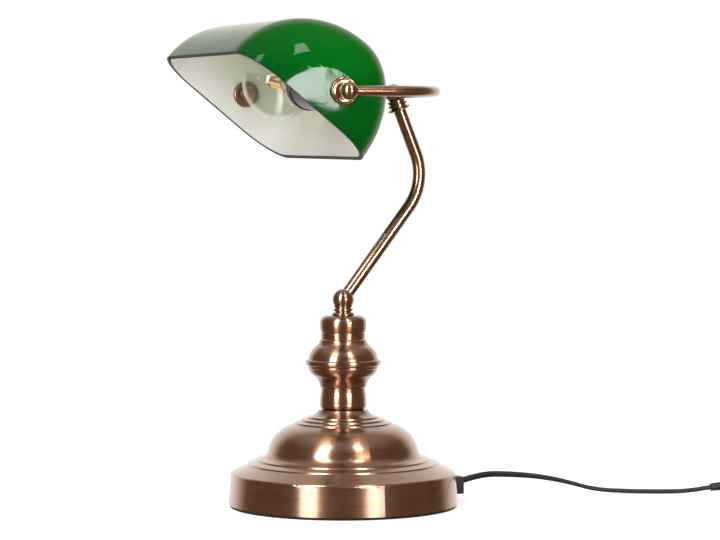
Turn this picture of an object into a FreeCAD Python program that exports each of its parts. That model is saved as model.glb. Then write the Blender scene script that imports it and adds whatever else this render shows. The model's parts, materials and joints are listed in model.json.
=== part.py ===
import math
import os

from FreeCAD import Placement, Rotation, Vector
import Part

# Banker's desk lamp. Millimetres, +Z up, front towards -Y, the shade's length along X.
# The origin is the centre of the felt under the base. The mains cord leaves at the back, +Y.

# ---- driving dimensions -------------------------------------------------------------------

RUN_FIT = 0.05          # radial clearance of a turning or screwed fit
FACE_FIT = 0.1          # clearance between flat faces that slide on each other
BALL_FIT = 0.3          # clearance between a ball and its cup
SHEET = 1.2             # spun brass sheet of the base and column

FELT_THICKNESS = 2.0
PLATE_THICKNESS = 2.0

BASE_RADIUS = 90.0      # at the lower edge of the rim
BASE_HEIGHT = 75.6      # top of the spun shell
RIM_TAPER = 1.8
RIM_HEIGHT = 24.4
SLOPE_RINGS = ((75.0, 32.9), (68.5, 35.9), (64.0, 38.0))   # radius and height of each ring
DOME_FOOT = (58.9, 43.8)
DOME_SHOULDER = (53.4, 55.4)
DOME_TOP = (43.6, 62.7)
NECK_RINGS = ((38.6, 64.6), (33.4, 66.9), (28.2, 69.2))
RING_STEP = 1.1         # height of each small step between rings
BASE_TOP_RADIUS = 19.2

BALLAST_RADIUS = 76.0
BALLAST_THICKNESS = 12.0
BALLAST_BOSS_RADIUS = 25.0
BALLAST_BOSS_HEIGHT = 32.0
BALLAST_POST_RADIUS = 13.0
NUT_POCKET_RADIUS = 17.0
NUT_POCKET_DEPTH = 22.0
LEAD_CHANNEL_WIDTH = 8.0
LEAD_CHANNEL_HEIGHT = 8.0
PLATE_SCREW_CIRCLE = 50.0
PLATE_SCREW_RADIUS = 2.0
PLATE_SCREW_LENGTH = 10.0

TIE_TUBE_RADIUS = 6.0
TIE_TUBE_BORE = 4.0
TIE_NUT_ACROSS_FLATS = 19.0
TIE_NUT_THICKNESS = 5.0
TIE_WASHER_RADIUS = 15.0
TIE_WASHER_THICKNESS = 1.5

COLUMN_WAIST = 17.5     # radius of the two straight stretches
COLUMN_BULGE = 0.9      # how far the ends swell beyond the waist
COLUMN_BELT_RADIUS = 29.4
COLUMN_LOWER_HEIGHT = 34.4
COLUMN_BELT_HEIGHT = 5.0
COLUMN_UPPER_HEIGHT = 34.4

NECK_NUT_RADIUS = 9.0
NECK_NUT_HEIGHT = 2.2
NECK_RING_RADII = (7.8, 7.3)
NECK_SPIGOT_LENGTH = 12.0
NECK_WALL = 1.3
LOWER_BALL_RADIUS = 8.5
LOWER_BALL_RISE = 12.2  # ball centre above the column's top face
BALL_CAVITY = 5.0
BALL_SWING = 18.0       # degrees of free swing cut for the stud, each way
STUD_RADIUS = 2.6
STUD_BORE = 1.7

ARM_TUBE_RADIUS = 5.0
ARM_TUBE_BORE = 3.0
ARM_LOWER_LENGTH = 115.05
ARM_LOWER_LEAN = 37.5   # degrees back from vertical
ARM_UPPER_LENGTH = 75.3
ARM_UPPER_LEAN = 21.8   # degrees forward from vertical
ARM_BEND_RADIUS = 43.0
ARM_TUBE_SEAT = 5.0     # how far the tube enters the collar

HUB_RADIUS = 7.2
COLLAR_RADIUS = 9.0
COLLAR_RING_RADII = (7.6, 7.0)
COLLAR_DROP = 14.0      # collar's lower face below the hub centre
HUB_SHANK_LENGTH = 24.0
HUB_SHANK_BORE = 1.8

YOKE_ROD_RADIUS = 4.0
YOKE_ROD_BORE = 2.8
YOKE_DEPTH = 84.5       # back bar to tilt axis
YOKE_BEND_RADIUS = 50.0
YOKE_BALL_RADIUS = 6.7
YOKE_BALL_OFFSET = 8.9  # ball centre outside the rosette's outer face
YOKE_BALL_SEAT = 2.5    # how far the rod enters the ball
BOSS_RADIUS = 5.7

SHADE_HALF_LENGTH = 114.0
SHADE_FRONT = 75.0      # crown to front edge
SHADE_BACK = 53.0       # crown to back edge
SHADE_HEIGHT = 70.7     # opening plane to crown
SHADE_END_ROUND = 35.0
GLASS_WALL = 3.5
SHADE_TILT = 39.06      # degrees, front edge up
PIVOT_BEHIND_CROWN = 1.1
PIVOT_HEIGHT = 24.0     # above the opening plane

NIPPLE_RADIUS = 3.5
NIPPLE_BORE = 2.4
GASKET_THICKNESS = 0.8
GASKET_RADIUS = 8.0
ROSETTE_RADIUS = 10.25
ROSETTE_THICKNESS = 1.7
CUP_WASHER_RADIUS = 10.7
CUP_WASHER_THICKNESS = 1.6
DOME_NUT_RADIUS = 6.0
DOME_NUT_LENGTH = 7.0
INNER_NUT_RADIUS = 7.0
INNER_NUT_THICKNESS = 2.4

HOLDER_SKEW = 7.1       # degrees, towards the front edge
HOLDER_RADIUS = 18.6
HOLDER_WALL = 2.0
HOLDER_RIM = 59.5       # along the holder's axis from the inside of the glass
HOLDER_SEAM = 24.0
HOLDER_BACK = 8.0
HOLDER_BACK_RADIUS = 10.0
LAMP_CAP_RADIUS = 13.1
LAMP_CAP_LENGTH = 27.0
LAMP_LENGTH = 106.0
BULB_RADIUS = 29.5
BULB_NECK_RADIUS = 13.1
BULB_WALL = 0.8
BULB_NECK_REACH = 39.0  # sphere centre back to the end of the straight neck
FILAMENT_LENGTH = 34.0
FILAMENT_RADIUS = 0.9
FILAMENT_COUNT = 4
FILAMENT_RINGS = (7.5, 4.2)     # radius of the lower and the upper ends
FILAMENT_WIRE = 0.35
STEM_RISE = 2.0         # stem's top above the filaments' lower ends
CONTACT_GAP = 3.0       # holder's floor to the lamp's tip
LAMP_RIDGE_COUNT = 4
LAMP_RIDGE_PITCH = 3.6

LEAD_RADIUS = 2.2       # inner lead in the tubes
GRIP_WIDTH = 12.0
GRIP_HEIGHT = 13.7
GRIP_CENTRE_Z = 11.8
GRIP_REACH = 100.3      # outer face, from the lamp's axis
GRIP_NECK_RADIUS = 4.6
GRIP_EXIT_Z = 14.8
CORD_RADIUS = 2.4

SWITCH_LENGTH = 58.0
SWITCH_WIDTH = 25.0
SWITCH_HEIGHT = 20.0
SWITCH_BOX_WALL = 2.0
ROCKER_LENGTH = 18.0
ROCKER_WIDTH = 11.0
SWITCH_CORNER = 8.0
SWITCH_TOP_ROUND = 2.5
SWITCH_SEAM = 9.0       # height of the joint between the two halves
SWITCH_SCREW_INSET = 9.0
SWITCH_SCREW_RADIUS = 1.3
SWITCH_POST_RADIUS = 3.2
ROCKER_PIN_RADIUS = 1.2
ROCKER_PIN_REACH = 1.5  # beyond each side of the rocker
ROCKER_DROP = 6.5       # its axis below the case's top
ROCKER_REST = 8.0       # degrees the pressed end is down
ROCKER_CHEEK = 1.8
COIL_RADIUS = 30.0      # centre line of the coiled bundle
COIL_HALF_WIDTH = 7.5
COIL_HEIGHT = 16.0
COIL_CORNER = 4.1
PLUG_LENGTH = 36.0
PLUG_WIDTH = 33.0
PLUG_HEIGHT = 14.0
PIN_RADIUS = 2.0
PIN_LENGTH = 19.0
PIN_SPACING = 18.8
PIN_ROOT_RADIUS = 1.5   # the part moulded into the plug
PIN_ROOT_DEPTH = 10.0
PLUG_ROUND = 2.2

# The cord's routes by hand: from the grip, over its own arch, down to the table and to the switch;
# from the switch to the coil; and from the coil to the plug.
CORD_ROUTE = (
    (0.0, GRIP_REACH, GRIP_EXIT_Z),
    (-1.0, 118.0, 19.4),
    (-2.0, 142.0, 18.2),
    (0.0, 166.0, 15.8),
    (3.0, 190.0, 11.0),
    (8.0, 214.0, 3.6),
    (15.0, 239.0, 2.5),
    (25.0, 262.0, 2.5),
    (36.0, 284.0, 2.8),
    (44.0, 305.0, 6.5),
    (46.0, 325.0, 6.5),
)
TAIL_ROUTE = ((54.0, 404.6, 6.5), (69.6, 420.2, 4.0), (92.4, 423.4, 4.0), (112.0, 419.2, 7.0))
PLUG_ROUTE = ((147.5, 388.0, 7.5), (149.0, 366.0, 7.0), (147.5, 342.0, 7.0))
COIL_CENTRE = (117.5, 389.0)

# ---- places worked out from them ----------------------------------------------------------

PLATE_BOTTOM = FELT_THICKNESS
BALLAST_BOTTOM = PLATE_BOTTOM + PLATE_THICKNESS
POCKET_TOP = BALLAST_BOTTOM + NUT_POCKET_DEPTH
COLUMN_BOTTOM = BASE_HEIGHT
BELT_BOTTOM = COLUMN_BOTTOM + COLUMN_LOWER_HEIGHT
BELT_TOP = BELT_BOTTOM + COLUMN_BELT_HEIGHT
COLUMN_TOP = BELT_TOP + COLUMN_UPPER_HEIGHT
NECK_NUT_TOP = COLUMN_TOP + NECK_NUT_HEIGHT
TIE_TUBE_BOTTOM = POCKET_TOP - TIE_WASHER_THICKNESS - TIE_NUT_THICKNESS - 1.5
BALL_CENTRE = Vector(0, 0, COLUMN_TOP + LOWER_BALL_RISE)

lean_back = math.radians(ARM_LOWER_LEAN)
lean_forward = math.radians(ARM_UPPER_LEAN)
ARM_LOWER_WAY = Vector(0, math.sin(lean_back), math.cos(lean_back))
ARM_UPPER_WAY = Vector(0, -math.sin(lean_forward), math.cos(lean_forward))
ARM_CORNER = BALL_CENTRE + ARM_LOWER_WAY * ARM_LOWER_LENGTH
HUB_CENTRE = ARM_CORNER + ARM_UPPER_WAY * ARM_UPPER_LENGTH
ARM_TUBE_START = BALL_CAVITY + 0.6      # from the ball's centre

ROSETTE_FACE = SHADE_HALF_LENGTH + GASKET_THICKNESS + ROSETTE_THICKNESS
YOKE_HALF_SPAN = ROSETTE_FACE + YOKE_BALL_OFFSET
PIVOT = Vector(0, HUB_CENTRE.y - YOKE_DEPTH, HUB_CENTRE.z)
SHADE_TURN = Rotation(Vector(1, 0, 0), -SHADE_TILT)
GLASS_INNER_END = SHADE_HALF_LENGTH - GLASS_WALL
SHADE_ORIGIN = PIVOT - SHADE_TURN.multVec(Vector(0, PIVOT_BEHIND_CROWN, PIVOT_HEIGHT))
# The shade's own frame: origin on the opening plane under the crown, x along the lamp's X,
# y towards the back edge, z out through the crown.
SHADE_PLACE = Placement(SHADE_ORIGIN, SHADE_TURN)
PIVOT_IN_SHADE = Vector(0, PIVOT_BEHIND_CROWN, PIVOT_HEIGHT)

skew = math.radians(HOLDER_SKEW)
HOLDER_WAY = Vector(-math.cos(skew), -math.sin(skew), 0)
HOLDER_START = Vector(GLASS_INNER_END, PIVOT_IN_SHADE.y, PIVOT_IN_SHADE.z)
LAMP_TIP = HOLDER_RIM - LAMP_CAP_LENGTH
HOLDER_FLOOR = LAMP_TIP - CONTACT_GAP
BULB_CENTRE = LAMP_TIP + LAMP_LENGTH - BULB_RADIUS
FILAMENT_LOW = BULB_CENTRE - FILAMENT_LENGTH / 2
FILAMENT_HIGH = BULB_CENTRE + FILAMENT_LENGTH / 2

CORD_END = Vector(*CORD_ROUTE[-1])
SWITCH_WAY = (CORD_END - Vector(*CORD_ROUTE[-2])).normalize()
SWITCH_FAR_END = CORD_END + SWITCH_WAY * SWITCH_LENGTH
SWITCH_PLACE = Placement(Vector(CORD_END.x, CORD_END.y, 0), Rotation(Vector(1, 0, 0), SWITCH_WAY))
ROCKER_PIVOT = Vector(SWITCH_LENGTH / 2, 0, SWITCH_HEIGHT - ROCKER_DROP)
PLUG_START = Vector(*PLUG_ROUTE[-1])
PLUG_WAY = (PLUG_START - Vector(*PLUG_ROUTE[-2])).normalize()
PLUG_PLACE = Placement(PLUG_START, Rotation(Vector(1, 0, 0), PLUG_WAY))

# ---- tools --------------------------------------------------------------------------------

UP = Vector(0, 0, 1)


def wire(start, steps, close=True):
    """Edges in the XZ plane: a step (x, z) is a line, a step ((x, z), (x, z)) an arc."""
    edges = []
    here = Vector(start[0], 0, start[1])
    first = here
    for step in steps:
        if isinstance(step[0], tuple):
            middle = Vector(step[0][0], 0, step[0][1])
            there = Vector(step[1][0], 0, step[1][1])
            edges.append(Part.Arc(here, middle, there).toShape())
        else:
            there = Vector(step[0], 0, step[1])
            edges.append(Part.makeLine(here, there))
        here = there
    if close and here.distanceToPoint(first) > 1e-6:
        edges.append(Part.makeLine(here, first))
    return Part.Wire(edges)


def turned(start, steps):
    """Solid of revolution about Z of an outline given as radius and height."""
    return Part.Face(wire(start, steps)).revolve(Vector(), UP, 360)


def spun(start, steps, wall, open_drop=0.0):
    """A turned solid with an even wall; open_drop > 0 leaves its lower end open."""
    outer_face = Part.Face(wire(start, steps))
    outer = outer_face.revolve(Vector(), UP, 360)
    inner_face = outer_face.makeOffset2D(-wall, 2)
    inner = inner_face.revolve(Vector(), UP, 360)
    box = inner.BoundBox
    hollow = inner.fuse(cylinder(wall * 2, (0, 0, box.ZMin), (0, 0, box.ZMax)))
    if open_drop:
        radius = max(v.X for v in inner_face.Vertexes)
        hollow = hollow.fuse(cylinder(radius, (0, 0, box.ZMin - open_drop), (0, 0, box.ZMin + wall)))
    return outer.cut(hollow)


def cylinder(radius, start, end):
    start = Vector(*start)
    end = Vector(*end)
    return Part.makeCylinder(radius, start.distanceToPoint(end), start, end - start)


def ring(outer, inner, low, high):
    return cylinder(outer, (0, 0, low), (0, 0, high)).cut(
        cylinder(inner, (0, 0, low - 1), (0, 0, high + 1)))


def along(shape, origin, way):
    """Moves a shape made about +Z so that Z runs along way, from origin."""
    moved = shape.copy()
    moved.Placement = Placement(origin, Rotation(UP, way)).multiply(shape.Placement)
    return moved


def in_shade(shape):
    moved = shape.copy()
    moved.Placement = SHADE_PLACE.multiply(shape.Placement)
    return moved


def rounded_path(points, radii):
    """A wire of straight runs joined by tangent arcs, one radius per inner point."""
    edges = []
    here = points[0]
    for before, corner, after, radius in zip(points, points[1:], points[2:], radii):
        way_in = (corner - before).normalize()
        way_out = (after - corner).normalize()
        half_turn = way_in.getAngle(way_out) / 2
        setback = radius * math.tan(half_turn)
        arc_start = corner - way_in * setback
        arc_end = corner + way_out * setback
        inward = (way_out - way_in).normalize()
        middle = corner + inward * (radius / math.cos(half_turn) - radius)
        if here.distanceToPoint(arc_start) > 1e-6:
            edges.append(Part.makeLine(here, arc_start))
        edges.append(Part.Arc(arc_start, middle, arc_end).toShape())
        here = arc_end
    edges.append(Part.makeLine(here, points[-1]))
    return Part.Wire(edges)


def free_radii(points):
    """The radius at each inner point of a free cord: 0.45 of the shorter run, as a tangent arc."""
    radii = []
    for before, corner, after in zip(points, points[1:], points[2:]):
        shorter = min(before.distanceToPoint(corner), corner.distanceToPoint(after))
        half_turn = (corner - before).getAngle(after - corner) / 2
        radii.append(0.45 * shorter / math.tan(half_turn))
    return radii


def tube(path, radius):
    start = path.Edges[0].Vertexes[0].Point
    way = path.Edges[0].tangentAt(path.Edges[0].FirstParameter)
    section = Part.Wire(Part.makeCircle(radius, start, way))
    return path.makePipeShell([section], True, True)


def cord_tube(name, points, radius):
    points = [Vector(*p) for p in points]
    radii = free_radii(points)
    path = rounded_path(points, radii)
    solid = tube(path, radius)
    area = math.pi * radius * radius
    print(name, "length", round(path.Length, 1), "radii", [round(r) for r in radii],
          "volume / (section x length)", round(solid.Volume / (area * path.Length), 4))
    return solid


def save(name, shape):
    solids = shape.Solids
    if not solids or not all(s.isValid() and s.Volume > 0 for s in solids):
        raise ValueError(name + " is not a valid solid")
    solid = solids[0] if len(solids) == 1 else Part.makeCompound(solids)
    solid.exportStep("parts/" + name + ".step")


# ---- base ---------------------------------------------------------------------------------

def felt_pad():
    return cylinder(BASE_RADIUS - SHEET - 0.3, (0, 0, 0), (0, 0, FELT_THICKNESS))


def base_outline(bottom):
    rim_top = (BASE_RADIUS - RIM_TAPER, RIM_HEIGHT)
    steps = [rim_top, ((rim_top[0] - 0.5, RIM_HEIGHT + 1.7), (rim_top[0] - 2.0, RIM_HEIGHT + 2.7))]
    for radius, height in SLOPE_RINGS:
        steps.append((radius, height))
        steps.append((radius - 0.6, height + RING_STEP))
    foot = DOME_FOOT
    last = SLOPE_RINGS[-1]
    steps[-1] = ((foot[0] + 1.6, (last[1] + foot[1]) / 2 - 0.5), foot)
    steps.append((DOME_SHOULDER, DOME_TOP))
    for radius, height in NECK_RINGS:
        steps.append((radius, height))
        steps.append((radius - 0.6, height + RING_STEP))
    steps.append(((BASE_TOP_RADIUS + 2.2, BASE_HEIGHT - 2.8), (BASE_TOP_RADIUS, BASE_HEIGHT)))
    steps.append((0, BASE_HEIGHT))
    steps.append((0, bottom))
    return (BASE_RADIUS, bottom), steps


def base_shell():
    start, steps = base_outline(FELT_THICKNESS)
    shell = spun(start, steps, SHEET, open_drop=FELT_THICKNESS + 5)
    shell = shell.cut(cylinder(TIE_TUBE_RADIUS + RUN_FIT, (0, 0, 0), (0, 0, BASE_HEIGHT + 1)))
    grip_hole = cylinder(GRIP_NECK_RADIUS + RUN_FIT, (0, BASE_RADIUS - 10, GRIP_CENTRE_Z),
                         (0, BASE_RADIUS + 5, GRIP_CENTRE_Z))
    return shell.cut(grip_hole)


def plate_screw_places():
    for turn in range(3):
        angle = math.radians(30 + 120 * turn)
        yield PLATE_SCREW_CIRCLE * math.cos(angle), PLATE_SCREW_CIRCLE * math.sin(angle)


def countersunk_screw(x, y, clearance=0.0):
    radius = PLATE_SCREW_RADIUS + clearance
    head = Part.makeCone(radius * 2 + clearance, radius, PLATE_THICKNESS,
                         Vector(x, y, PLATE_BOTTOM), UP)
    shank = cylinder(radius, (x, y, PLATE_BOTTOM + PLATE_THICKNESS),
                     (x, y, PLATE_BOTTOM + PLATE_SCREW_LENGTH + clearance))
    return head.fuse(shank)


def base_plate():
    plate = cylinder(BASE_RADIUS - SHEET - 0.4, (0, 0, PLATE_BOTTOM), (0, 0, BALLAST_BOTTOM))
    for x, y in plate_screw_places():
        plate = plate.cut(countersunk_screw(x, y, RUN_FIT))
    return plate


def plate_screws():
    return Part.makeCompound([countersunk_screw(x, y) for x, y in plate_screw_places()])


def base_ballast():
    low = BALLAST_BOTTOM
    boss_top = low + BALLAST_BOSS_HEIGHT
    post_top = BASE_HEIGHT - SHEET
    body = turned((0, low), [
        (BALLAST_RADIUS, low), (BALLAST_RADIUS, low + BALLAST_THICKNESS - 2),
        (BALLAST_RADIUS - 2, low + BALLAST_THICKNESS),
        (BALLAST_BOSS_RADIUS + 4, low + BALLAST_THICKNESS), (BALLAST_BOSS_RADIUS, boss_top - 2),
        (BALLAST_BOSS_RADIUS - 2, boss_top), (BALLAST_POST_RADIUS + 1, boss_top),
        (BALLAST_POST_RADIUS, post_top), (0, post_top)])
    body = body.cut(cylinder(TIE_TUBE_RADIUS + RUN_FIT, (0, 0, 0), (0, 0, BASE_HEIGHT)))
    body = body.cut(cylinder(NUT_POCKET_RADIUS, (0, 0, low - 1), (0, 0, POCKET_TOP)))
    channel = Part.makeBox(LEAD_CHANNEL_WIDTH, BALLAST_RADIUS + 1, LEAD_CHANNEL_HEIGHT + 1,
                           Vector(-LEAD_CHANNEL_WIDTH / 2, 0, low - 1))
    body = body.cut(channel)
    for x, y in plate_screw_places():
        body = body.cut(countersunk_screw(x, y, RUN_FIT))
    return body


def tie_tube():
    return ring(TIE_TUBE_RADIUS, TIE_TUBE_BORE, TIE_TUBE_BOTTOM, NECK_NUT_TOP)


def hexagon(across_flats, low, high):
    corner = across_flats / math.sqrt(3)
    points = []
    for side in range(6):
        angle = math.radians(60 * side)
        points.append(Vector(corner * math.cos(angle), corner * math.sin(angle), low))
    points.append(points[0])
    return Part.Face(Part.makePolygon(points)).extrude(Vector(0, 0, high - low))


def tie_nut():
    top = POCKET_TOP - TIE_WASHER_THICKNESS
    nut = hexagon(TIE_NUT_ACROSS_FLATS, top - TIE_NUT_THICKNESS, top)
    return nut.cut(cylinder(TIE_TUBE_RADIUS + RUN_FIT, (0, 0, 0), (0, 0, POCKET_TOP)))


def tie_washer():
    return ring(TIE_WASHER_RADIUS, TIE_TUBE_RADIUS + RUN_FIT, POCKET_TOP - TIE_WASHER_THICKNESS, POCKET_TOP)


def column_lower_shell():
    low = COLUMN_BOTTOM
    high = BELT_BOTTOM
    waist = COLUMN_WAIST
    swell = COLUMN_WAIST + COLUMN_BULGE
    bowl = COLUMN_BELT_RADIUS - 1.6
    outline = [
        (waist - 2.2, low), ((waist + 0.2, low + 1.4), (swell, low + 5.0)),
        ((swell - 0.1, low + 9.0), (waist, low + 14.5)), (waist, low + 17.2),
        (waist + 1.0, low + 18.0), ((waist + 2.2, low + 22.0), (waist + 5.4, low + 26.0)),
        ((waist + 8.6, low + 29.2), (bowl - 0.6, high - 2.2)), (bowl, high - 1.6), (bowl, high), (0, high)]
    shell = spun((0, low), outline, SHEET)
    return shell.cut(cylinder(TIE_TUBE_RADIUS + RUN_FIT, (0, 0, low - 1), (0, 0, high + 1)))


def column_belt_ring():
    radius = COLUMN_BELT_RADIUS
    belt = turned((0, BELT_BOTTOM), [
        (radius - 1.2, BELT_BOTTOM), (radius, BELT_BOTTOM + 0.8),
        ((radius + 0.15, (BELT_BOTTOM + BELT_TOP) / 2), (radius, BELT_TOP - 0.8)),
        (radius - 1.0, BELT_TOP), (0, BELT_TOP)])
    return belt.cut(cylinder(TIE_TUBE_RADIUS + RUN_FIT, (0, 0, BELT_BOTTOM - 1), (0, 0, BELT_TOP + 1)))


def column_upper_shell():
    low = BELT_TOP
    high = COLUMN_TOP
    waist = COLUMN_WAIST
    swell = COLUMN_WAIST + COLUMN_BULGE
    bowl = COLUMN_BELT_RADIUS - 1.9
    outline = [
        (bowl, low), ((bowl - 1.6, low + 5.2), (bowl - 5.6, low + 10.2)),
        ((waist + 1.6, low + 13.2), (waist + 0.9, low + 15.2)), (waist, low + 16.0),
        (waist, low + 21.0), (waist + 0.3, low + 21.4), ((swell - 0.1, low + 25.0), (swell, low + 28.8)),
        ((swell - 1.3, low + 32.4), (waist - 3.4, high)), (0, high)]
    shell = spun((0, low), outline, SHEET)
    return shell.cut(cylinder(TIE_TUBE_RADIUS + RUN_FIT, (0, 0, low - 1), (0, 0, high + 1)))


def cord_grip():
    low = GRIP_CENTRE_Z - GRIP_HEIGHT / 2
    wall = math.sqrt(BASE_RADIUS ** 2 - (GRIP_WIDTH / 2) ** 2)
    body = Part.makeBox(GRIP_WIDTH, GRIP_REACH - wall + 3, GRIP_HEIGHT,
                        Vector(-GRIP_WIDTH / 2, wall - 3, low))
    body = body.makeFillet(1.2, [e for e in body.Edges if abs(e.tangentAt(0).y) > 0.9])
    body = body.cut(Part.makeCone(BASE_RADIUS + 0.15, BASE_RADIUS - RIM_TAPER + 0.15,
                                  RIM_HEIGHT - FELT_THICKNESS, Vector(0, 0, FELT_THICKNESS), UP))
    neck = cylinder(GRIP_NECK_RADIUS, (0, BASE_RADIUS - 5.5, GRIP_CENTRE_Z), (0, wall + 1, GRIP_CENTRE_Z))
    lip = cylinder(GRIP_NECK_RADIUS + 1.2, (0, BASE_RADIUS - 5.5, GRIP_CENTRE_Z),
                   (0, BASE_RADIUS - 3.5, GRIP_CENTRE_Z))
    return body.fuse([neck, lip]).removeSplitter()


def base_lead():
    channel_z = BALLAST_BOTTOM + LEAD_RADIUS + 0.3
    points = [
        Vector(0, BASE_RADIUS - 5.5, GRIP_CENTRE_Z), Vector(0, BASE_RADIUS - 9.5, GRIP_CENTRE_Z),
        Vector(0, BALLAST_RADIUS - 6, channel_z), Vector(0, 0, channel_z),
        Vector(0, 0, COLUMN_TOP - NECK_SPIGOT_LENGTH)]
    return tube(rounded_path(points, (10.0, 16.0, 9.0)), LEAD_RADIUS)


# ---- neck ---------------------------------------------------------------------------------

def neck_nut():
    low = COLUMN_TOP
    nut = turned((0, low), [
        (NECK_NUT_RADIUS - 0.6, low), (NECK_NUT_RADIUS, low + 0.5), (NECK_NUT_RADIUS, low + 1.1),
        (NECK_NUT_RADIUS - 0.9, NECK_NUT_TOP), (0, NECK_NUT_TOP)])
    return nut.cut(cylinder(TIE_TUBE_RADIUS + RUN_FIT, (0, 0, low - 1), (0, 0, NECK_NUT_TOP + 1)))


def neck_socket():
    low = NECK_NUT_TOP + FACE_FIT
    wide, narrow = NECK_RING_RADII
    body = turned((0, low), [
        (narrow - 0.9, low), (narrow - 0.9, low + 0.9), (wide - 0.3, low + 1.1), (wide, low + 1.6),
        (wide, low + 2.4), (wide - 0.4, low + 2.9), (narrow - 0.8, low + 3.1), (narrow - 0.8, low + 3.8),
        (narrow - 0.3, low + 4.0), (narrow, low + 4.4), (narrow, low + 6.5), (0, low + 6.5)])
    spigot = cylinder(TIE_TUBE_BORE - RUN_FIT, (0, 0, COLUMN_TOP - NECK_SPIGOT_LENGTH + 0.5),
                      (0, 0, low + 0.5))
    body = body.fuse(spigot)
    body = body.cut(Part.makeSphere(LOWER_BALL_RADIUS + BALL_FIT, BALL_CENTRE))
    return body.cut(cylinder(STUD_RADIUS + RUN_FIT, (0, 0, low - 40), (0, 0, low + 20)))


def ball_keeper():
    head_reach = BALL_CAVITY - BALL_FIT
    head = Part.makeSphere(head_reach, BALL_CENTRE)
    head = head.cut(Part.makeBox(20, 20, 20, BALL_CENTRE + Vector(-10, -10, -1.2)))
    stud = cylinder(STUD_RADIUS, (0, 0, NECK_NUT_TOP - 6), (0, 0, BALL_CENTRE.z - 2))
    keeper = head.fuse(stud)
    return keeper.cut(cylinder(STUD_BORE, (0, 0, NECK_NUT_TOP - 7), (0, 0, BALL_CENTRE.z + 1)))


# ---- arm ----------------------------------------------------------------------------------

def arm_ball():
    hollow = Part.makeSphere(LOWER_BALL_RADIUS).cut(Part.makeSphere(BALL_CAVITY))
    ball = along(hollow, BALL_CENTRE, ARM_LOWER_WAY)
    half_angle = math.asin((STUD_RADIUS + RUN_FIT) / BALL_CAVITY) + math.radians(BALL_SWING)
    depth = LOWER_BALL_RADIUS + 2
    mouth = Part.makeCone(0, depth * math.tan(half_angle), depth, BALL_CENTRE, Vector(0, 0, -1))
    ball = ball.cut(mouth)
    seat = along(cylinder(ARM_TUBE_RADIUS + RUN_FIT, (0, 0, ARM_TUBE_START), (0, 0, 20)),
                 BALL_CENTRE, ARM_LOWER_WAY)
    wire_hole = along(cylinder(ARM_TUBE_BORE - 0.4, (0, 0, 1), (0, 0, 20)), BALL_CENTRE, ARM_LOWER_WAY)
    return ball.cut(seat.fuse(wire_hole))


def arm_path():
    start = BALL_CENTRE + ARM_LOWER_WAY * ARM_TUBE_START
    end = HUB_CENTRE - ARM_UPPER_WAY * (COLLAR_DROP - ARM_TUBE_SEAT)
    return [start, ARM_CORNER, end]


def arm_tube():
    path = rounded_path(arm_path(), (ARM_BEND_RADIUS,))
    return tube(path, ARM_TUBE_RADIUS).cut(tube(path, ARM_TUBE_BORE))


def arm_lead():
    start, corner, end = arm_path()
    end = HUB_CENTRE - ARM_UPPER_WAY * (HUB_SHANK_LENGTH + 1)
    start = start + ARM_LOWER_WAY * 1.0
    return tube(rounded_path([start, corner, end], (ARM_BEND_RADIUS,)), LEAD_RADIUS)


def arm_top_collar():
    wide, narrow = COLLAR_RING_RADII
    low = -COLLAR_DROP
    body = turned((0, low), [
        (COLLAR_RADIUS - 1.4, low), (COLLAR_RADIUS, low + 0.7), (COLLAR_RADIUS, low + 1.5),
        (COLLAR_RADIUS - 1.6, low + 2.1), (narrow - 0.8, low + 2.4), (narrow - 0.8, low + 3.4),
        (wide, low + 3.8), (wide, low + 5.2), (narrow - 0.8, low + 5.6), (narrow - 0.8, low + 6.1),
        (narrow, low + 6.5), (narrow, low + 8.4), (0, low + 8.4)])
    body = body.cut(Part.makeSphere(HUB_RADIUS + BALL_FIT))
    body = body.cut(cylinder(ARM_TUBE_RADIUS + RUN_FIT, (0, 0, low - 1), (0, 0, low + ARM_TUBE_SEAT)))
    body = body.cut(cylinder(ARM_TUBE_BORE, (0, 0, low), (0, 0, 1)))
    return along(body, HUB_CENTRE, ARM_UPPER_WAY)


# ---- yoke ---------------------------------------------------------------------------------

def yoke_hub():
    hub = Part.makeSphere(HUB_RADIUS)
    hub = hub.fuse(cylinder(ARM_TUBE_BORE - RUN_FIT, (0, 0, -HUB_SHANK_LENGTH), (0, 0, 0)))
    hub = hub.cut(cylinder(HUB_SHANK_BORE, (0, 0, -HUB_SHANK_LENGTH - 1), (0, 0, 0)))
    hub = along(hub, HUB_CENTRE, ARM_UPPER_WAY)
    cross = cylinder(YOKE_ROD_RADIUS + RUN_FIT, HUB_CENTRE - Vector(20, 0, 0), HUB_CENTRE + Vector(20, 0, 0))
    return hub.cut(cross)


def yoke_path():
    back = HUB_CENTRE
    arm = Vector(YOKE_HALF_SPAN, 0, 0)
    reach = Vector(0, -YOKE_DEPTH + YOKE_BALL_RADIUS - YOKE_BALL_SEAT, 0)
    points = [back - arm + reach, back - arm, back + arm, back + arm + reach]
    return rounded_path(points, (YOKE_BEND_RADIUS, YOKE_BEND_RADIUS))


def yoke_bar():
    bar = tube(yoke_path(), YOKE_ROD_RADIUS).cut(tube(yoke_path(), YOKE_ROD_BORE))
    return bar.cut(cylinder(HUB_SHANK_BORE, HUB_CENTRE - ARM_UPPER_WAY * 8, HUB_CENTRE))


def yoke_lead():
    """From above the hub along the back bar and the +X side arm to the end ball."""
    back = HUB_CENTRE + Vector(6, 0, 0)
    corner = HUB_CENTRE + Vector(YOKE_HALF_SPAN, 0, 0)
    end = corner + Vector(0, -YOKE_DEPTH + YOKE_BALL_RADIUS - 1, 0)
    return tube(rounded_path([back, corner, end], (YOKE_BEND_RADIUS,)), LEAD_RADIUS)


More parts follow.
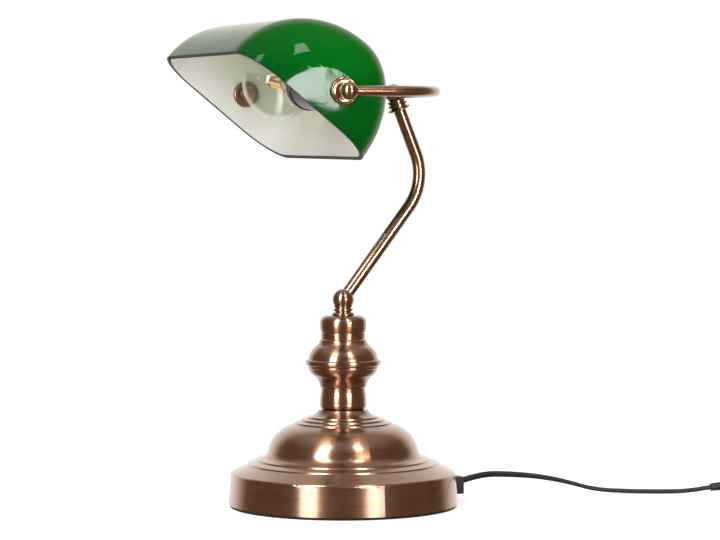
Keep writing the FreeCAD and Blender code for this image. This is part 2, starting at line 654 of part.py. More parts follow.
def yoke_end_ball(side):
    centre = PIVOT + Vector(side * YOKE_HALF_SPAN, 0, 0)
    ball = Part.makeSphere(YOKE_BALL_RADIUS, centre)
    seat = centre + Vector(0, YOKE_BALL_RADIUS - YOKE_BALL_SEAT, 0)
    ball = ball.cut(cylinder(YOKE_ROD_RADIUS + RUN_FIT, seat, seat + Vector(0, 20, 0)))
    ball = ball.cut(cylinder(YOKE_ROD_BORE - 0.4, centre, centre + Vector(0, 20, 0)))
    inner = centre - Vector(side * 20, 0, 0)
    return ball.cut(cylinder(NIPPLE_RADIUS + RUN_FIT, inner, centre + Vector(side * 1.5, 0, 0)))


def yoke_boss(side):
    centre = PIVOT + Vector(side * YOKE_HALF_SPAN, 0, 0)
    face = PIVOT + Vector(side * (ROSETTE_FACE + FACE_FIT), 0, 0)
    length = YOKE_BALL_OFFSET - FACE_FIT
    outline = [(BOSS_RADIUS, 0), (BOSS_RADIUS, 0.9), (BOSS_RADIUS - 0.9, 1.2), (BOSS_RADIUS - 0.9, 1.6),
               (BOSS_RADIUS, 1.9), (BOSS_RADIUS, 3.0), (BOSS_RADIUS - 1.2, 4.4), (0, 4.4)]
    boss = along(turned((0, 0), outline), face, Vector(side, 0, 0))
    boss = boss.cut(Part.makeSphere(YOKE_BALL_RADIUS + RUN_FIT, centre))
    return boss.cut(cylinder(NIPPLE_RADIUS + RUN_FIT, face - Vector(side * 5, 0, 0),
                             face + Vector(side * length, 0, 0)))


# ---- shade, in its own frame ----------------------------------------------------------------

def shade_block(inset):
    """The shade's outer form, or with an inset the room inside it; it runs on below the opening."""
    drop = 15.0
    front = SHADE_FRONT - inset
    back = SHADE_BACK - inset
    height = SHADE_HEIGHT - inset
    half = SHADE_HALF_LENGTH - inset

    def quarter(reach, way):
        side = Vector(0, way * reach, 0)
        crown = Vector(0, 0, height)
        ends = (side, crown) if reach >= height else (crown, side)
        return Part.ArcOfEllipse(Part.Ellipse(*ends, Vector()), 0, math.pi / 2).toShape()

    front_low = Vector(0, -front, -drop)
    back_low = Vector(0, back, -drop)
    edges = [
        Part.makeLine(front_low, Vector(0, -front, 0)), quarter(front, -1), quarter(back, 1),
        Part.makeLine(Vector(0, back, 0), back_low), Part.makeLine(back_low, front_low)]
    outline = Part.Wire(Part.__sortEdges__(edges))
    block = Part.Face(outline).extrude(Vector(2 * half, 0, 0))
    block.translate(Vector(-half, 0, 0))
    ends = []
    for edge in block.Edges:
        box = edge.BoundBox
        if box.XLength < 0.01 and box.ZMax > -drop + 0.01:
            ends.append(edge)
    return block.makeFillet(SHADE_END_ROUND - inset, ends)


def pivot_hole(radius, side=None):
    reach = SHADE_HALF_LENGTH + 20
    low = -reach if side is None or side < 0 else 0
    high = reach if side is None or side > 0 else 0
    start = PIVOT_IN_SHADE + Vector(low, 0, 0)
    return cylinder(radius, start, PIVOT_IN_SHADE + Vector(high, 0, 0))


def glass_shade():
    shell = shade_block(0).cut(shade_block(GLASS_WALL))
    below = Part.makeBox(400, 400, 40, Vector(-200, -200, -40))
    shell = shell.cut(below).cut(pivot_hole(NIPPLE_RADIUS + 0.4))
    return in_shade(shell)


def on_pivot(shape, side, x):
    """A shape turned about +Z, set on the pivot axis at x from the middle, Z pointing outward."""
    at = PIVOT_IN_SHADE + Vector(side * x, 0, 0)
    return in_shade(along(shape, at, Vector(side, 0, 0)))


def rosette(side):
    radius = ROSETTE_RADIUS
    disc = turned((0, 0), [
        (radius - 0.7, 0), ((radius, 0.6), (radius - 0.6, 1.3)), (radius - 1.6, 1.1),
        (radius - 2.4, ROSETTE_THICKNESS), (0, ROSETTE_THICKNESS)])
    disc = disc.cut(cylinder(NIPPLE_RADIUS + RUN_FIT, (0, 0, -1), (0, 0, 5)))
    return on_pivot(disc, side, SHADE_HALF_LENGTH + GASKET_THICKNESS)


def gasket(side, inside):
    disc = ring(GASKET_RADIUS, NIPPLE_RADIUS + RUN_FIT, 0, GASKET_THICKNESS)
    x = GLASS_INNER_END - GASKET_THICKNESS if inside else SHADE_HALF_LENGTH
    return on_pivot(disc, side, x)


def gasket_pair(side):
    return Part.makeCompound([gasket(side, True), gasket(side, False)])


def pivot_nipple(side):
    inner_end = GLASS_INNER_END - GASKET_THICKNESS - INNER_NUT_THICKNESS - 1.0
    if side < 0:
        inner_end = GLASS_INNER_END - GASKET_THICKNESS - CUP_WASHER_THICKNESS - 4.0
    outer_end = YOKE_HALF_SPAN + 0.8
    bore = NIPPLE_BORE if side > 0 else NIPPLE_BORE / 2
    return on_pivot(ring(NIPPLE_RADIUS, bore, 0, outer_end - inner_end), side, inner_end)


def inner_nut():
    nut = ring(INNER_NUT_RADIUS, NIPPLE_RADIUS + RUN_FIT, 0, INNER_NUT_THICKNESS)
    return on_pivot(nut, 1, GLASS_INNER_END - GASKET_THICKNESS - INNER_NUT_THICKNESS)


def cup_washer():
    radius = CUP_WASHER_RADIUS
    thick = CUP_WASHER_THICKNESS
    cup = turned((0, 0), [
        (radius - 2.5, 0), ((radius - 0.6, 0.5), (radius, thick)), (0, thick)])
    cup = cup.cut(cylinder(NIPPLE_RADIUS + RUN_FIT, (0, 0, -1), (0, 0, 5)))
    return on_pivot(cup, -1, GLASS_INNER_END - GASKET_THICKNESS - thick)


def dome_nut():
    radius = DOME_NUT_RADIUS
    length = DOME_NUT_LENGTH
    nut = turned((0, 0), [
        ((radius * 0.72, length * 0.2), (radius, length * 0.7)), (radius, length), (0, length)])
    nut = nut.cut(cylinder(NIPPLE_RADIUS + RUN_FIT, (0, 0, length - 4.2), (0, 0, length + 1)))
    x = GLASS_INNER_END - GASKET_THICKNESS - CUP_WASHER_THICKNESS - length
    return on_pivot(nut, -1, x)


# ---- bulb holder and bulb, along the holder's axis -------------------------------------------

def on_holder(shape):
    return in_shade(along(shape, HOLDER_START, HOLDER_WAY))


def holder_bracket():
    """Wedge collar between the pivot nipple's nut and the skewed holder."""
    post = cylinder(HOLDER_BACK_RADIUS - 1.0, (0, 0, -6), (0, 0, HOLDER_BACK))
    body = along(post, HOLDER_START, HOLDER_WAY)
    nut_face = GLASS_INNER_END - GASKET_THICKNESS - INNER_NUT_THICKNESS
    keep = Part.makeBox(40, 60, 60, Vector(nut_face - 40, PIVOT_IN_SHADE.y - 30, PIVOT_IN_SHADE.z - 30))
    body = body.common(keep)
    bore = cylinder(NIPPLE_RADIUS + RUN_FIT, PIVOT_IN_SHADE + Vector(nut_face - 1.2, 0, 0),
                    PIVOT_IN_SHADE + Vector(nut_face + 5, 0, 0))
    wire_bore = along(cylinder(NIPPLE_BORE, (0, 0, 0), (0, 0, 20)), HOLDER_START, HOLDER_WAY)
    return in_shade(body.cut(bore).cut(wire_bore))


def holder_cap():
    radius = HOLDER_RADIUS
    wall = HOLDER_WALL
    back = HOLDER_BACK
    cap = turned((0, back), [
        (HOLDER_BACK_RADIUS, back), ((radius - 3.4, back + 2.4), (radius, back + 9)), (radius, HOLDER_SEAM),
        (0, HOLDER_SEAM)])
    room = turned((0, back + wall + 1), [
        (HOLDER_BACK_RADIUS, back + wall + 1), ((radius - 5.4, back + 4.6), (radius - wall, back + 10)),
        (radius - wall, HOLDER_SEAM + 1), (0, HOLDER_SEAM + 1)])
    cap = cap.cut(room).cut(cylinder(NIPPLE_BORE, (0, 0, 0), (0, 0, 20)))
    return on_holder(cap)


def holder_skirt():
    radius = HOLDER_RADIUS
    wall = HOLDER_WALL
    skirt = turned((radius - wall, HOLDER_SEAM), [
        (radius, HOLDER_SEAM), (radius, HOLDER_SEAM + 4), (radius - 0.8, HOLDER_SEAM + 4.8),
        (radius - 0.8, HOLDER_RIM - 6), (radius, HOLDER_RIM - 5.2), (radius, HOLDER_RIM - 1),
        (radius - 0.8, HOLDER_RIM), (radius - wall, HOLDER_RIM)])
    return on_holder(skirt)


def holder_core():
    """Insulator disc clamped at the seam; it carries the contacts."""
    low = HOLDER_SEAM - 6
    high = HOLDER_FLOOR
    core = cylinder(HOLDER_RADIUS - HOLDER_WALL - RUN_FIT, (0, 0, low), (0, 0, high))
    return on_holder(core.cut(cylinder(3.0, (0, 0, low - 1), (0, 0, high - 2.5))))


def holder_screw_shell():
    inner = LAMP_CAP_RADIUS + 0.4
    low = HOLDER_FLOOR
    shell = ring(inner + 0.5, inner, low, HOLDER_RIM - 6)
    flange = ring(HOLDER_RADIUS - HOLDER_WALL - RUN_FIT, inner, low, low + 1.0)
    return on_holder(shell.fuse(flange))


def holder_contact():
    """Spring tongue that meets the lamp's tip."""
    low = HOLDER_FLOOR
    tongue = Part.makeBox(14, 5, 0.6, Vector(-8, -2.5, low))
    rise = Part.makeBox(0.6, 5, 2.9, Vector(5.4, -2.5, low))
    tip = Part.makeBox(8.6, 5, 0.6, Vector(-2.6, -2.5, low + 2.3))
    return on_holder(tongue.fuse([rise, tip]))


def lamp_tip_contact():
    tip = turned((0, LAMP_TIP), [(3.4, LAMP_TIP), (4.4, LAMP_TIP + 1.2), (0, LAMP_TIP + 1.2)])
    return on_holder(tip)


def lamp_cap_insulator():
    low = LAMP_TIP + 1.2
    glass = turned((0, low), [(4.6, low), (LAMP_CAP_RADIUS - 1.4, low + 4.0), (0, low + 4.0)])
    return on_holder(glass)


def lamp_cap():
    low = LAMP_TIP + 5.2
    high = LAMP_TIP + LAMP_CAP_LENGTH
    root = LAMP_CAP_RADIUS - 1.1
    steps = [(root, low)]
    pitch = LAMP_RIDGE_PITCH
    for ridge in range(LAMP_RIDGE_COUNT):
        start = low + 1.5 + ridge * pitch
        steps.append((root, start))
        steps.append(((LAMP_CAP_RADIUS, start + pitch / 2), (root, start + pitch - 0.2)))
    steps += [(root, high - 3), (LAMP_CAP_RADIUS, high), (LAMP_CAP_RADIUS - 0.4, high),
              (root - 0.4, high - 3), (root - 0.4, low + 0.4), (0, low + 0.4)]
    return on_holder(turned((0, low), steps))


def bulb_outline(inset):
    """From the neck's end, along the straight neck, over the fillet and round the sphere."""
    radius = BULB_RADIUS - inset
    neck = BULB_NECK_RADIUS - inset
    reach = BULB_NECK_REACH
    fillet = (neck ** 2 + reach ** 2 - radius ** 2) / (2 * (radius - neck))
    fillet_centre = (neck + fillet, BULB_CENTRE - reach)
    span = math.hypot(fillet_centre[0], reach)
    touch = (fillet_centre[0] * radius / span, BULB_CENTRE - reach * radius / span)
    turn = math.atan2(reach, fillet_centre[0]) / 2
    middle = (fillet_centre[0] - fillet * math.cos(turn), fillet_centre[1] + fillet * math.sin(turn))
    side = (radius, BULB_CENTRE)
    start = (neck, LAMP_TIP + LAMP_CAP_LENGTH)
    half = (radius * math.sin(math.radians(45)), BULB_CENTRE + radius * math.cos(math.radians(45)))
    low_angle = (math.pi / 2 + math.acos(-reach / span)) / 2
    low_side = (radius * math.sin(low_angle), BULB_CENTRE + radius * math.cos(low_angle))
    end = (0, BULB_CENTRE + radius)
    return start, [(neck, BULB_CENTRE - reach), (middle, touch), (low_side, side), (half, end)]


def bulb_glass():
    start, steps = bulb_outline(0)
    outer = turned((0, start[1]), [start] + steps)
    start, steps = bulb_outline(BULB_WALL)
    inner = turned((0, start[1] - 2), [(start[0], start[1] - 2)] + steps)
    return on_holder(outer.cut(inner))


def bulb_stem():
    low = LAMP_TIP + LAMP_CAP_LENGTH
    top = FILAMENT_LOW + STEM_RISE
    flare = BULB_NECK_RADIUS - BULB_WALL - RUN_FIT
    stem = turned((0, low), [
        (flare, low), (flare, low + 0.8), ((5.6, low + 4), (4.0, low + 10)), (3.4, top - 2),
        ((2.9, top - 0.6), (1.6, top)), (0, top)])
    return on_holder(stem)


def filament_ends():
    """Lower and upper end of each filament, in the holder's frame."""
    for number in range(FILAMENT_COUNT):
        angle = math.radians(45 + 360 / FILAMENT_COUNT * number)
        low_radius, high_radius = FILAMENT_RINGS
        low = Vector(low_radius * math.cos(angle), low_radius * math.sin(angle), FILAMENT_LOW)
        high = Vector(high_radius * math.cos(angle), high_radius * math.sin(angle), FILAMENT_HIGH)
        yield low, high


def filaments():
    strips = [cylinder(FILAMENT_RADIUS, low, high) for low, high in filament_ends()]
    return on_holder(Part.makeCompound(strips))


def filament_supports():
    """Two-legged wires from the stem to the lower ends and one wire to the joined upper ends."""
    low_radius, high_radius = FILAMENT_RINGS
    low = FILAMENT_LOW - FILAMENT_WIRE
    high = FILAMENT_HIGH + FILAMENT_WIRE
    stem_top = FILAMENT_LOW + STEM_RISE
    lower_ring = Part.makeTorus(low_radius, FILAMENT_WIRE, Vector(0, 0, low))
    upper_ring = Part.makeTorus(high_radius, FILAMENT_WIRE, Vector(0, 0, high))
    upper_bar = cylinder(FILAMENT_WIRE, (-high_radius, 0, high), (high_radius, 0, high))
    mast = cylinder(FILAMENT_WIRE, (0, 0, stem_top - 1), (0, 0, high))
    legs = []
    for side in (-1, 1):
        legs.append(cylinder(FILAMENT_WIRE, (side * 3.0, 0, stem_top - 8), (side * low_radius, 0, low)))
    return on_holder(lower_ring.fuse([upper_ring, upper_bar, mast] + legs))


# ---- cord, switch, coil and plug --------------------------------------------------------------

def cord_run():
    return cord_tube("cord_run", CORD_ROUTE, CORD_RADIUS)


def cord_tail():
    return cord_tube("cord_tail", (tuple(SWITCH_FAR_END),) + TAIL_ROUTE, CORD_RADIUS)


def cord_end():
    return cord_tube("cord_end", PLUG_ROUTE, CORD_RADIUS)


def cord_coil():
    """The outer form of the coiled length: a ring of rounded section lying on the table."""
    half = COIL_HALF_WIDTH
    high = COIL_HEIGHT
    corner = COIL_CORNER
    low_in = COIL_RADIUS - half
    low_out = COIL_RADIUS + half
    cut = corner * (1 - math.sqrt(0.5))
    ring_solid = turned((low_in + corner, 0), [
        (low_out - corner, 0), ((low_out - cut, cut), (low_out, corner)), (low_out, high - corner),
        ((low_out - cut, high - cut), (low_out - corner, high)), (low_in + corner, high),
        ((low_in + cut, high - cut), (low_in, high - corner)), (low_in, corner),
        ((low_in + cut, cut), (low_in + corner, 0))])
    ring_solid.translate(Vector(*COIL_CENTRE, 0))
    return ring_solid


def switch_block(inset):
    """The case's outer form, x along the cord from the inlet, or with an inset the room inside."""
    length = SWITCH_LENGTH - 2 * inset
    width = SWITCH_WIDTH - 2 * inset
    height = SWITCH_HEIGHT - 2 * inset
    block = Part.makeBox(length, width, height, Vector(inset, -width / 2, inset))
    upright = [e for e in block.Edges if abs(e.tangentAt(0).z) > 0.9]
    block = block.makeFillet(SWITCH_CORNER - inset, upright)
    top = [e for e in block.Edges if e.BoundBox.ZMin > height + inset - 0.1]
    return block.makeFillet(SWITCH_TOP_ROUND - inset * 0.8, top)


def on_switch(shape):
    moved = shape.copy()
    moved.Placement = SWITCH_PLACE.multiply(shape.Placement)
    return moved


def switch_half(low, high):
    room = switch_block(SWITCH_BOX_WALL)
    shell = switch_block(0).cut(room)
    return shell.common(Part.makeBox(200, 200, high - low, Vector(-50, -100, low)))


def switch_screw_places():
    return (SWITCH_SCREW_INSET, 0.0), (SWITCH_LENGTH - SWITCH_SCREW_INSET, 0.0)


def switch_case_lower():
    case = switch_half(0, SWITCH_SEAM)
    for x, y in switch_screw_places():
        case = case.cut(cylinder(3.0, (x, y, -1), (x, y, 1.2)))
        case = case.cut(cylinder(1.6, (x, y, -1), (x, y, 5)))
    return on_switch(case)


def switch_case_upper():
    case = switch_half(SWITCH_SEAM, SWITCH_HEIGHT)
    x = ROCKER_PIVOT.x
    roof = SWITCH_HEIGHT - SWITCH_BOX_WALL
    half = ROCKER_WIDTH / 2 + 0.4
    cheek_low = SWITCH_SEAM + 1
    cheek_height = roof + 0.5 - cheek_low
    cheeks = [Part.makeBox(7, ROCKER_CHEEK, cheek_height, Vector(x - 3.5, low_y, cheek_low))
              for low_y in (half, -half - ROCKER_CHEEK)]
    post_low = SWITCH_BOX_WALL + 0.2
    posts = [cylinder(SWITCH_POST_RADIUS, (px, py, post_low), (px, py, roof + 0.5))
             for px, py in switch_screw_places()]
    case = case.fuse(cheeks + posts)
    opening = Part.makeBox(ROCKER_LENGTH + 2.6, 2 * half, 10,
                           Vector(x - ROCKER_LENGTH / 2 - 1.3, -half, roof - 1))
    case = case.cut(opening)
    reach = ROCKER_WIDTH / 2 + ROCKER_PIN_REACH + 0.2
    pin_hole = cylinder(ROCKER_PIN_RADIUS + RUN_FIT, (x, -reach, ROCKER_PIVOT.z), (x, reach, ROCKER_PIVOT.z))
    case = case.cut(pin_hole)
    for px, py in switch_screw_places():
        case = case.cut(cylinder(SWITCH_SCREW_RADIUS + RUN_FIT, (px, py, 0), (px, py, 11)))
    return on_switch(case)


def switch_screws():
    screws = []
    for x, y in switch_screw_places():
        head = cylinder(2.7, (x, y, 0.1), (x, y, 1.2))
        screws.append(head.fuse(cylinder(SWITCH_SCREW_RADIUS, (x, y, 1.2), (x, y, 10))))
    return on_switch(Part.makeCompound(screws))


def switch_rocker():
    half = ROCKER_LENGTH / 2
    corners = [(-half, 6.6), (0, 5.2), (half, 6.6), (half - 1, 1.0), (3, -2.5), (-3, -2.5), (1 - half, 1.0)]
    points = [Vector(x, -ROCKER_WIDTH / 2, z) for x, z in corners]
    body = Part.Face(Part.makePolygon(points + points[:1])).extrude(Vector(0, ROCKER_WIDTH, 0))
    reach = ROCKER_WIDTH / 2 + ROCKER_PIN_REACH
    body = body.fuse(cylinder(ROCKER_PIN_RADIUS, (0, -reach, 0), (0, reach, 0)))
    body.rotate(Vector(), Vector(0, 1, 0), ROCKER_REST)
    body.translate(ROCKER_PIVOT)
    return on_switch(body)


def on_plug(shape):
    moved = shape.copy()
    moved.Placement = PLUG_PLACE.multiply(shape.Placement)
    return moved


def plug_body():
    """Flat-faced two-pin plug: a waisted grip and a wider face, x along the pins."""
    half = PLUG_WIDTH / 2
    outline = [
        (0, 5), (6, 6), (16, 8.5), (PLUG_LENGTH - 12, half - 1.5), (PLUG_LENGTH - 2, half),
        (PLUG_LENGTH, half - 1)]
    points = [Vector(x, y, -PLUG_HEIGHT / 2) for x, y in outline]
    points += [Vector(x, -y, -PLUG_HEIGHT / 2) for x, y in reversed(outline)]
    body = Part.Face(Part.makePolygon(points + points[:1])).extrude(Vector(0, 0, PLUG_HEIGHT))
    long_edges = [e for e in body.Edges if abs(e.tangentAt(0).z) < 0.1 and
                  e.BoundBox.XMax < PLUG_LENGTH - 0.5 and e.BoundBox.XLength > 1]
    body = body.makeFillet(PLUG_ROUND, long_edges)
    for y in (-PIN_SPACING / 2, PIN_SPACING / 2):
        body = body.cut(cylinder(PIN_ROOT_RADIUS + RUN_FIT, (PLUG_LENGTH - PIN_ROOT_DEPTH, y, 0),
                                 (PLUG_LENGTH + 1, y, 0)))
    return on_plug(body)


def plug_pins():
    tip_start = PLUG_LENGTH + PIN_LENGTH - PIN_RADIUS
    pins = []
    for y in (-PIN_SPACING / 2, PIN_SPACING / 2):
        root = cylinder(PIN_ROOT_RADIUS, (PLUG_LENGTH - PIN_ROOT_DEPTH, y, 0), (PLUG_LENGTH, y, 0))
        pin = cylinder(PIN_RADIUS, (PLUG_LENGTH, y, 0), (tip_start, y, 0))
        tip = Part.makeSphere(PIN_RADIUS, Vector(tip_start, y, 0))
        pins.append(pin.fuse([tip, root]).removeSplitter())
    return on_plug(Part.makeCompound(pins))


# ---- build ----------------------------------------------------------------------------------

PIECES = {
    "felt_pad": felt_pad, "base_shell": base_shell, "base_plate": base_plate, "plate_screws": plate_screws,
    "base_ballast": base_ballast, "tie_tube": tie_tube, "tie_nut": tie_nut, "tie_washer": tie_washer,
    "column_lower_shell": column_lower_shell, "column_belt_ring": column_belt_ring,
    "column_upper_shell": column_upper_shell, "cord_grip": cord_grip, "base_lead": base_lead,
    "neck_nut": neck_nut, "neck_socket": neck_socket, "ball_keeper": ball_keeper, "arm_ball": arm_ball,
    "arm_tube": arm_tube, "arm_lead": arm_lead, "arm_top_collar": arm_top_collar,
    "yoke_hub": yoke_hub, "yoke_bar": yoke_bar, "yoke_lead": yoke_lead,
    "glass_shade": glass_shade, "inner_nut": inner_nut, "cup_washer": cup_washer, "dome_nut": dome_nut,
    "holder_bracket": holder_bracket, "holder_cap": holder_cap, "holder_skirt": holder_skirt,
    "holder_core": holder_core, "holder_screw_shell": holder_screw_shell, "holder_contact": holder_contact,
    "lamp_tip_contact": lamp_tip_contact, "lamp_cap_insulator": lamp_cap_insulator, "lamp_cap": lamp_cap,
    "bulb_glass": bulb_glass, "bulb_stem": bulb_stem, "filaments": filaments,
    "filament_supports": filament_supports, "cord_run": cord_run, "cord_tail": cord_tail,
    "cord_end": cord_end, "cord_coil": cord_coil, "switch_case_lower": switch_case_lower,
    "switch_case_upper": switch_case_upper, "switch_screws": switch_screws,
    "switch_rocker": switch_rocker, "plug_body": plug_body, "plug_pins": plug_pins,
}
SIDED_PIECES = {
    "yoke_end_ball": yoke_end_ball, "yoke_boss": yoke_boss, "rosette": rosette,
    "gasket_pair": gasket_pair, "pivot_nipple": pivot_nipple,
}
SIDES = {"left": -1, "right": 1}

os.makedirs("parts", exist_ok=True)
for name, make in PIECES.items():
    save(name, make())
for name, make in SIDED_PIECES.items():
    for side_name, side in SIDES.items():
        save(name + "_" + side_name, make(side))
print("built", len(os.listdir("parts")), "nodes; rocker pivot", SWITCH_PLACE.multVec(ROCKER_PIVOT),
      "hub", HUB_CENTRE, "pivot", PIVOT, "shade origin", SHADE_ORIGIN)
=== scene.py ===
import json
import math
import random

import bmesh
import bpy
from mathutils import Matrix, Vector


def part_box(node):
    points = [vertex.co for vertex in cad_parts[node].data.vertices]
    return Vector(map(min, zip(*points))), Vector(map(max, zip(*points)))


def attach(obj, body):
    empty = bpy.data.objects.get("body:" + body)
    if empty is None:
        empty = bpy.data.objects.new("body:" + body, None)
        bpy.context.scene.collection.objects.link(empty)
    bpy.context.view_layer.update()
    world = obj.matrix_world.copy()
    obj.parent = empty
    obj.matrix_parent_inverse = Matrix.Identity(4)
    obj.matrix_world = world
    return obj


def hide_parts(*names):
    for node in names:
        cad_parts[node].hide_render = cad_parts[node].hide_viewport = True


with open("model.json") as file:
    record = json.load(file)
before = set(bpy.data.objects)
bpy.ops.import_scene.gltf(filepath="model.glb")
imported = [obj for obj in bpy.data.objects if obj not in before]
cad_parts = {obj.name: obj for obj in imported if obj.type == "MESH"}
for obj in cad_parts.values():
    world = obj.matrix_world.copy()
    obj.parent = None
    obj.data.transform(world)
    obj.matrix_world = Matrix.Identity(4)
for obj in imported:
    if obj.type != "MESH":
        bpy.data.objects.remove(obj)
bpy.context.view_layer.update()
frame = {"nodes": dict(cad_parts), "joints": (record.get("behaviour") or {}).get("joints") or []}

# Banker's desk lamp: finishes, cased glass shade, lamp, flat flex and its ends, stage and lights.
# Metres, +Z up, the lamp's front towards -Y, its shade along X, its cord leaving at +Y.

MM = 0.001
NOT_ZERO = 1e-9
UP = Vector((0, 0, 1))


# ---- places taken from the frame ----------------------------------------------------------------

def joint(name):
    for entry in frame["joints"]:
        if entry["name"] == name:
            return Vector(entry["pos_m"]), Vector(entry["axis"])
    raise KeyError(name)


pivot, _ = joint("shade_tilt")
hub, ARM_UPPER_WAY = joint("head_swivel")
ball, _ = joint("arm_tilt")
glass_low, glass_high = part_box("glass_shade")

# The shade's form: front and back reach from its crown line, height, end rounding and glass layers.
SHADE_HALF = (glass_high.x - glass_low.x) / 2
SHADE_FRONT = 75.0 * MM
SHADE_BACK = 53.0 * MM
SHADE_HEIGHT = 70.7 * MM
SHADE_ROUND = 35.0 * MM
GLASS_WALL = 3.5 * MM
GREEN_LAYER = 1.1 * MM
LAYER_GAP = 0.02 * MM
SHADE_TILT = math.radians(39.06)
PIVOT_BEHIND_CROWN = 1.1 * MM
PIVOT_HEIGHT = 24.0 * MM
PIVOT_HOLE = 3.9 * MM

SHADE_TURN = Matrix.Rotation(-SHADE_TILT, 4, "X")
SHADE_ORIGIN = pivot - SHADE_TURN @ Vector((0, PIVOT_BEHIND_CROWN, PIVOT_HEIGHT))
SHADE_PLACE = Matrix.Translation(SHADE_ORIGIN) @ SHADE_TURN


# ---- camera -------------------------------------------------------------------------------------

CAMERA_PLACE = Vector((2.080957, -0.787490, 0.295210))
CAMERA_TURN = math.radians(68.933)      # from looking along +Y towards looking along -X
CAMERA_DROP = math.radians(2.843)
CAMERA_LENS = 142.55
CAMERA_SENSOR = 36.0
FARTHEST_SEEN = 50.0


def make_camera():
    data = bpy.data.cameras.new("camera")
    data.sensor_width = CAMERA_SENSOR
    data.lens = CAMERA_LENS
    data.clip_end = FARTHEST_SEEN
    camera = bpy.data.objects.new("camera", data)
    camera.location = CAMERA_PLACE
    forward = Vector((-math.sin(CAMERA_TURN) * math.cos(CAMERA_DROP),
                      math.cos(CAMERA_TURN) * math.cos(CAMERA_DROP), -math.sin(CAMERA_DROP)))
    right = Vector((math.cos(CAMERA_TURN), math.sin(CAMERA_TURN), 0))
    camera.rotation_euler = Matrix((right, right.cross(forward), -forward)).transposed().to_euler()
    bpy.context.scene.collection.objects.link(camera)
    bpy.context.scene.camera = camera


make_camera()


# ---- shader tools -------------------------------------------------------------------------------

class Value:
    """A number socket used in Python expressions; each operator adds its Math node."""

    def __init__(self, paint, socket):
        self.paint = paint
        self.socket = socket

    def math(self, operation, *others, clamp=False):
        node = self.paint.node("ShaderNodeMath", {"operation": operation, "use_clamp": clamp},
                               dict(enumerate((self,) + others)))
        return Value(self.paint, node.outputs[0])

    def reflected(self, operation, other):
        node = self.paint.node("ShaderNodeMath", {"operation": operation}, {0: other, 1: self})
        return Value(self.paint, node.outputs[0])

    def __add__(self, other):
        return self.math("ADD", other)

    __radd__ = __add__

    def __sub__(self, other):
        return self.math("SUBTRACT", other)

    def __rsub__(self, other):
        return self.reflected("SUBTRACT", other)

    def __mul__(self, other):
        return self.math("MULTIPLY", other)

    __rmul__ = __mul__

    def __truediv__(self, other):
        return self.math("DIVIDE", other)

    def __rtruediv__(self, other):
        return self.reflected("DIVIDE", other)

    def __pow__(self, other):
        return self.math("POWER", other)

    def clamped(self):
        return self.math("ADD", 0.0, clamp=True)

    def between(self, low, high):
        """0 at low, 1 at high, held outside them."""
        return ((self - low) / (high - low)).clamped()


def set_stops(ramp, stops):
    while len(ramp.elements) < len(stops):
        ramp.elements.new(1.0)
    for element, (place, colour) in zip(ramp.elements, stops):
        element.position = place
        element.color = (*colour, 1.0)


class Paint:
    """The nodes of a material or the world; node() is the one way any node but a Math node is added."""

    def __init__(self, owner):
        self.owner = owner
        owner.use_nodes = True
        self.tree = owner.node_tree
        self.tree.nodes.clear()

    def node(self, kind, settings=None, inputs=None):
        node = self.tree.nodes.new(kind)
        for key, value in (settings or {}).items():
            if key == "stops":
                set_stops(node.color_ramp, value)
            else:
                setattr(node, key, value)
        for key, value in (inputs or {}).items():
            socket = node.inputs[key]
            if isinstance(value, Value):
                value = value.socket
            if isinstance(value, bpy.types.NodeSocket):
                self.tree.links.new(value, socket)
            else:
                socket.default_value = value
        return node

    def place(self):
        """Object coordinates."""
        return self.node("ShaderNodeTexCoord").outputs["Object"]

    def moved(self, where, matrix):
        """The same point in the frame whose place is the matrix."""
        inverse = matrix.inverted()
        turn = inverse.to_euler()
        return self.node("ShaderNodeMapping", {"vector_type": "POINT"}, {
            "Vector": where, "Location": inverse.to_translation(), "Rotation": turn}).outputs[0]

    def split(self, where):
        """The three numbers of a vector."""
        parts = self.node("ShaderNodeSeparateXYZ", None, {0: where})
        return [Value(self, output) for output in parts.outputs]

    def joined(self, x, y, z):
        return self.node("ShaderNodeCombineXYZ", None, {0: x, 1: y, 2: z}).outputs[0]

    def noise(self, where, scale, detail=2.0, rough=0.5):
        """Cloudy noise around 0.5; the scale is in blotches per metre."""
        node = self.node("ShaderNodeTexNoise", None,
                         {"Vector": where, "Scale": scale, "Detail": detail, "Roughness": rough})
        return Value(self, node.outputs[0])

    def ramp(self, factor, stops):
        return self.node("ShaderNodeValToRGB", {"stops": stops}, {0: factor}).outputs[0]

    def blend(self, factor, first, second):
        """From the first colour to the second; either may be three numbers or a socket."""
        first, second = [(*tone, 1.0) if isinstance(tone, tuple) else tone for tone in (first, second)]
        return self.node("ShaderNodeMix", {"data_type": "RGBA"},
                         {0: factor, 6: first, 7: second}).outputs[2]

    def bump(self, height, distance, strength=1.0):
        return self.node("ShaderNodeBump", None,
                         {"Height": height, "Distance": distance, "Strength": strength}).outputs[0]

    def finish(self, **inputs):
        """Ends the material; coat_ior sets the shader's Coat IOR, and so on."""
        named = {}
        for key, value in inputs.items():
            named[key.replace("_", " ").title().replace("Ior", "IOR")] = value
        shader = self.node("ShaderNodeBsdfPrincipled", None, named)
        self.node("ShaderNodeOutputMaterial", None, {0: shader.outputs[0]})
        return self.owner


def new_paint(name):
    return Paint(bpy.data.materials.new(name))


# ---- finishes -----------------------------------------------------------------------------------

BRASS_DARK = (0.24, 0.108, 0.046)
BRASS_LIGHT = (0.43, 0.235, 0.130)
LACQUER_IOR = 1.9
LATHE_LINES = 1500.0       # fine tool lines per metre
LATHE_BANDS = 160.0        # broad bands per metre
BRUSHED = 0.92             # how far highlights stretch
ACROSS_LINES = 0.25        # a quarter turn, so that they stretch across the tool lines


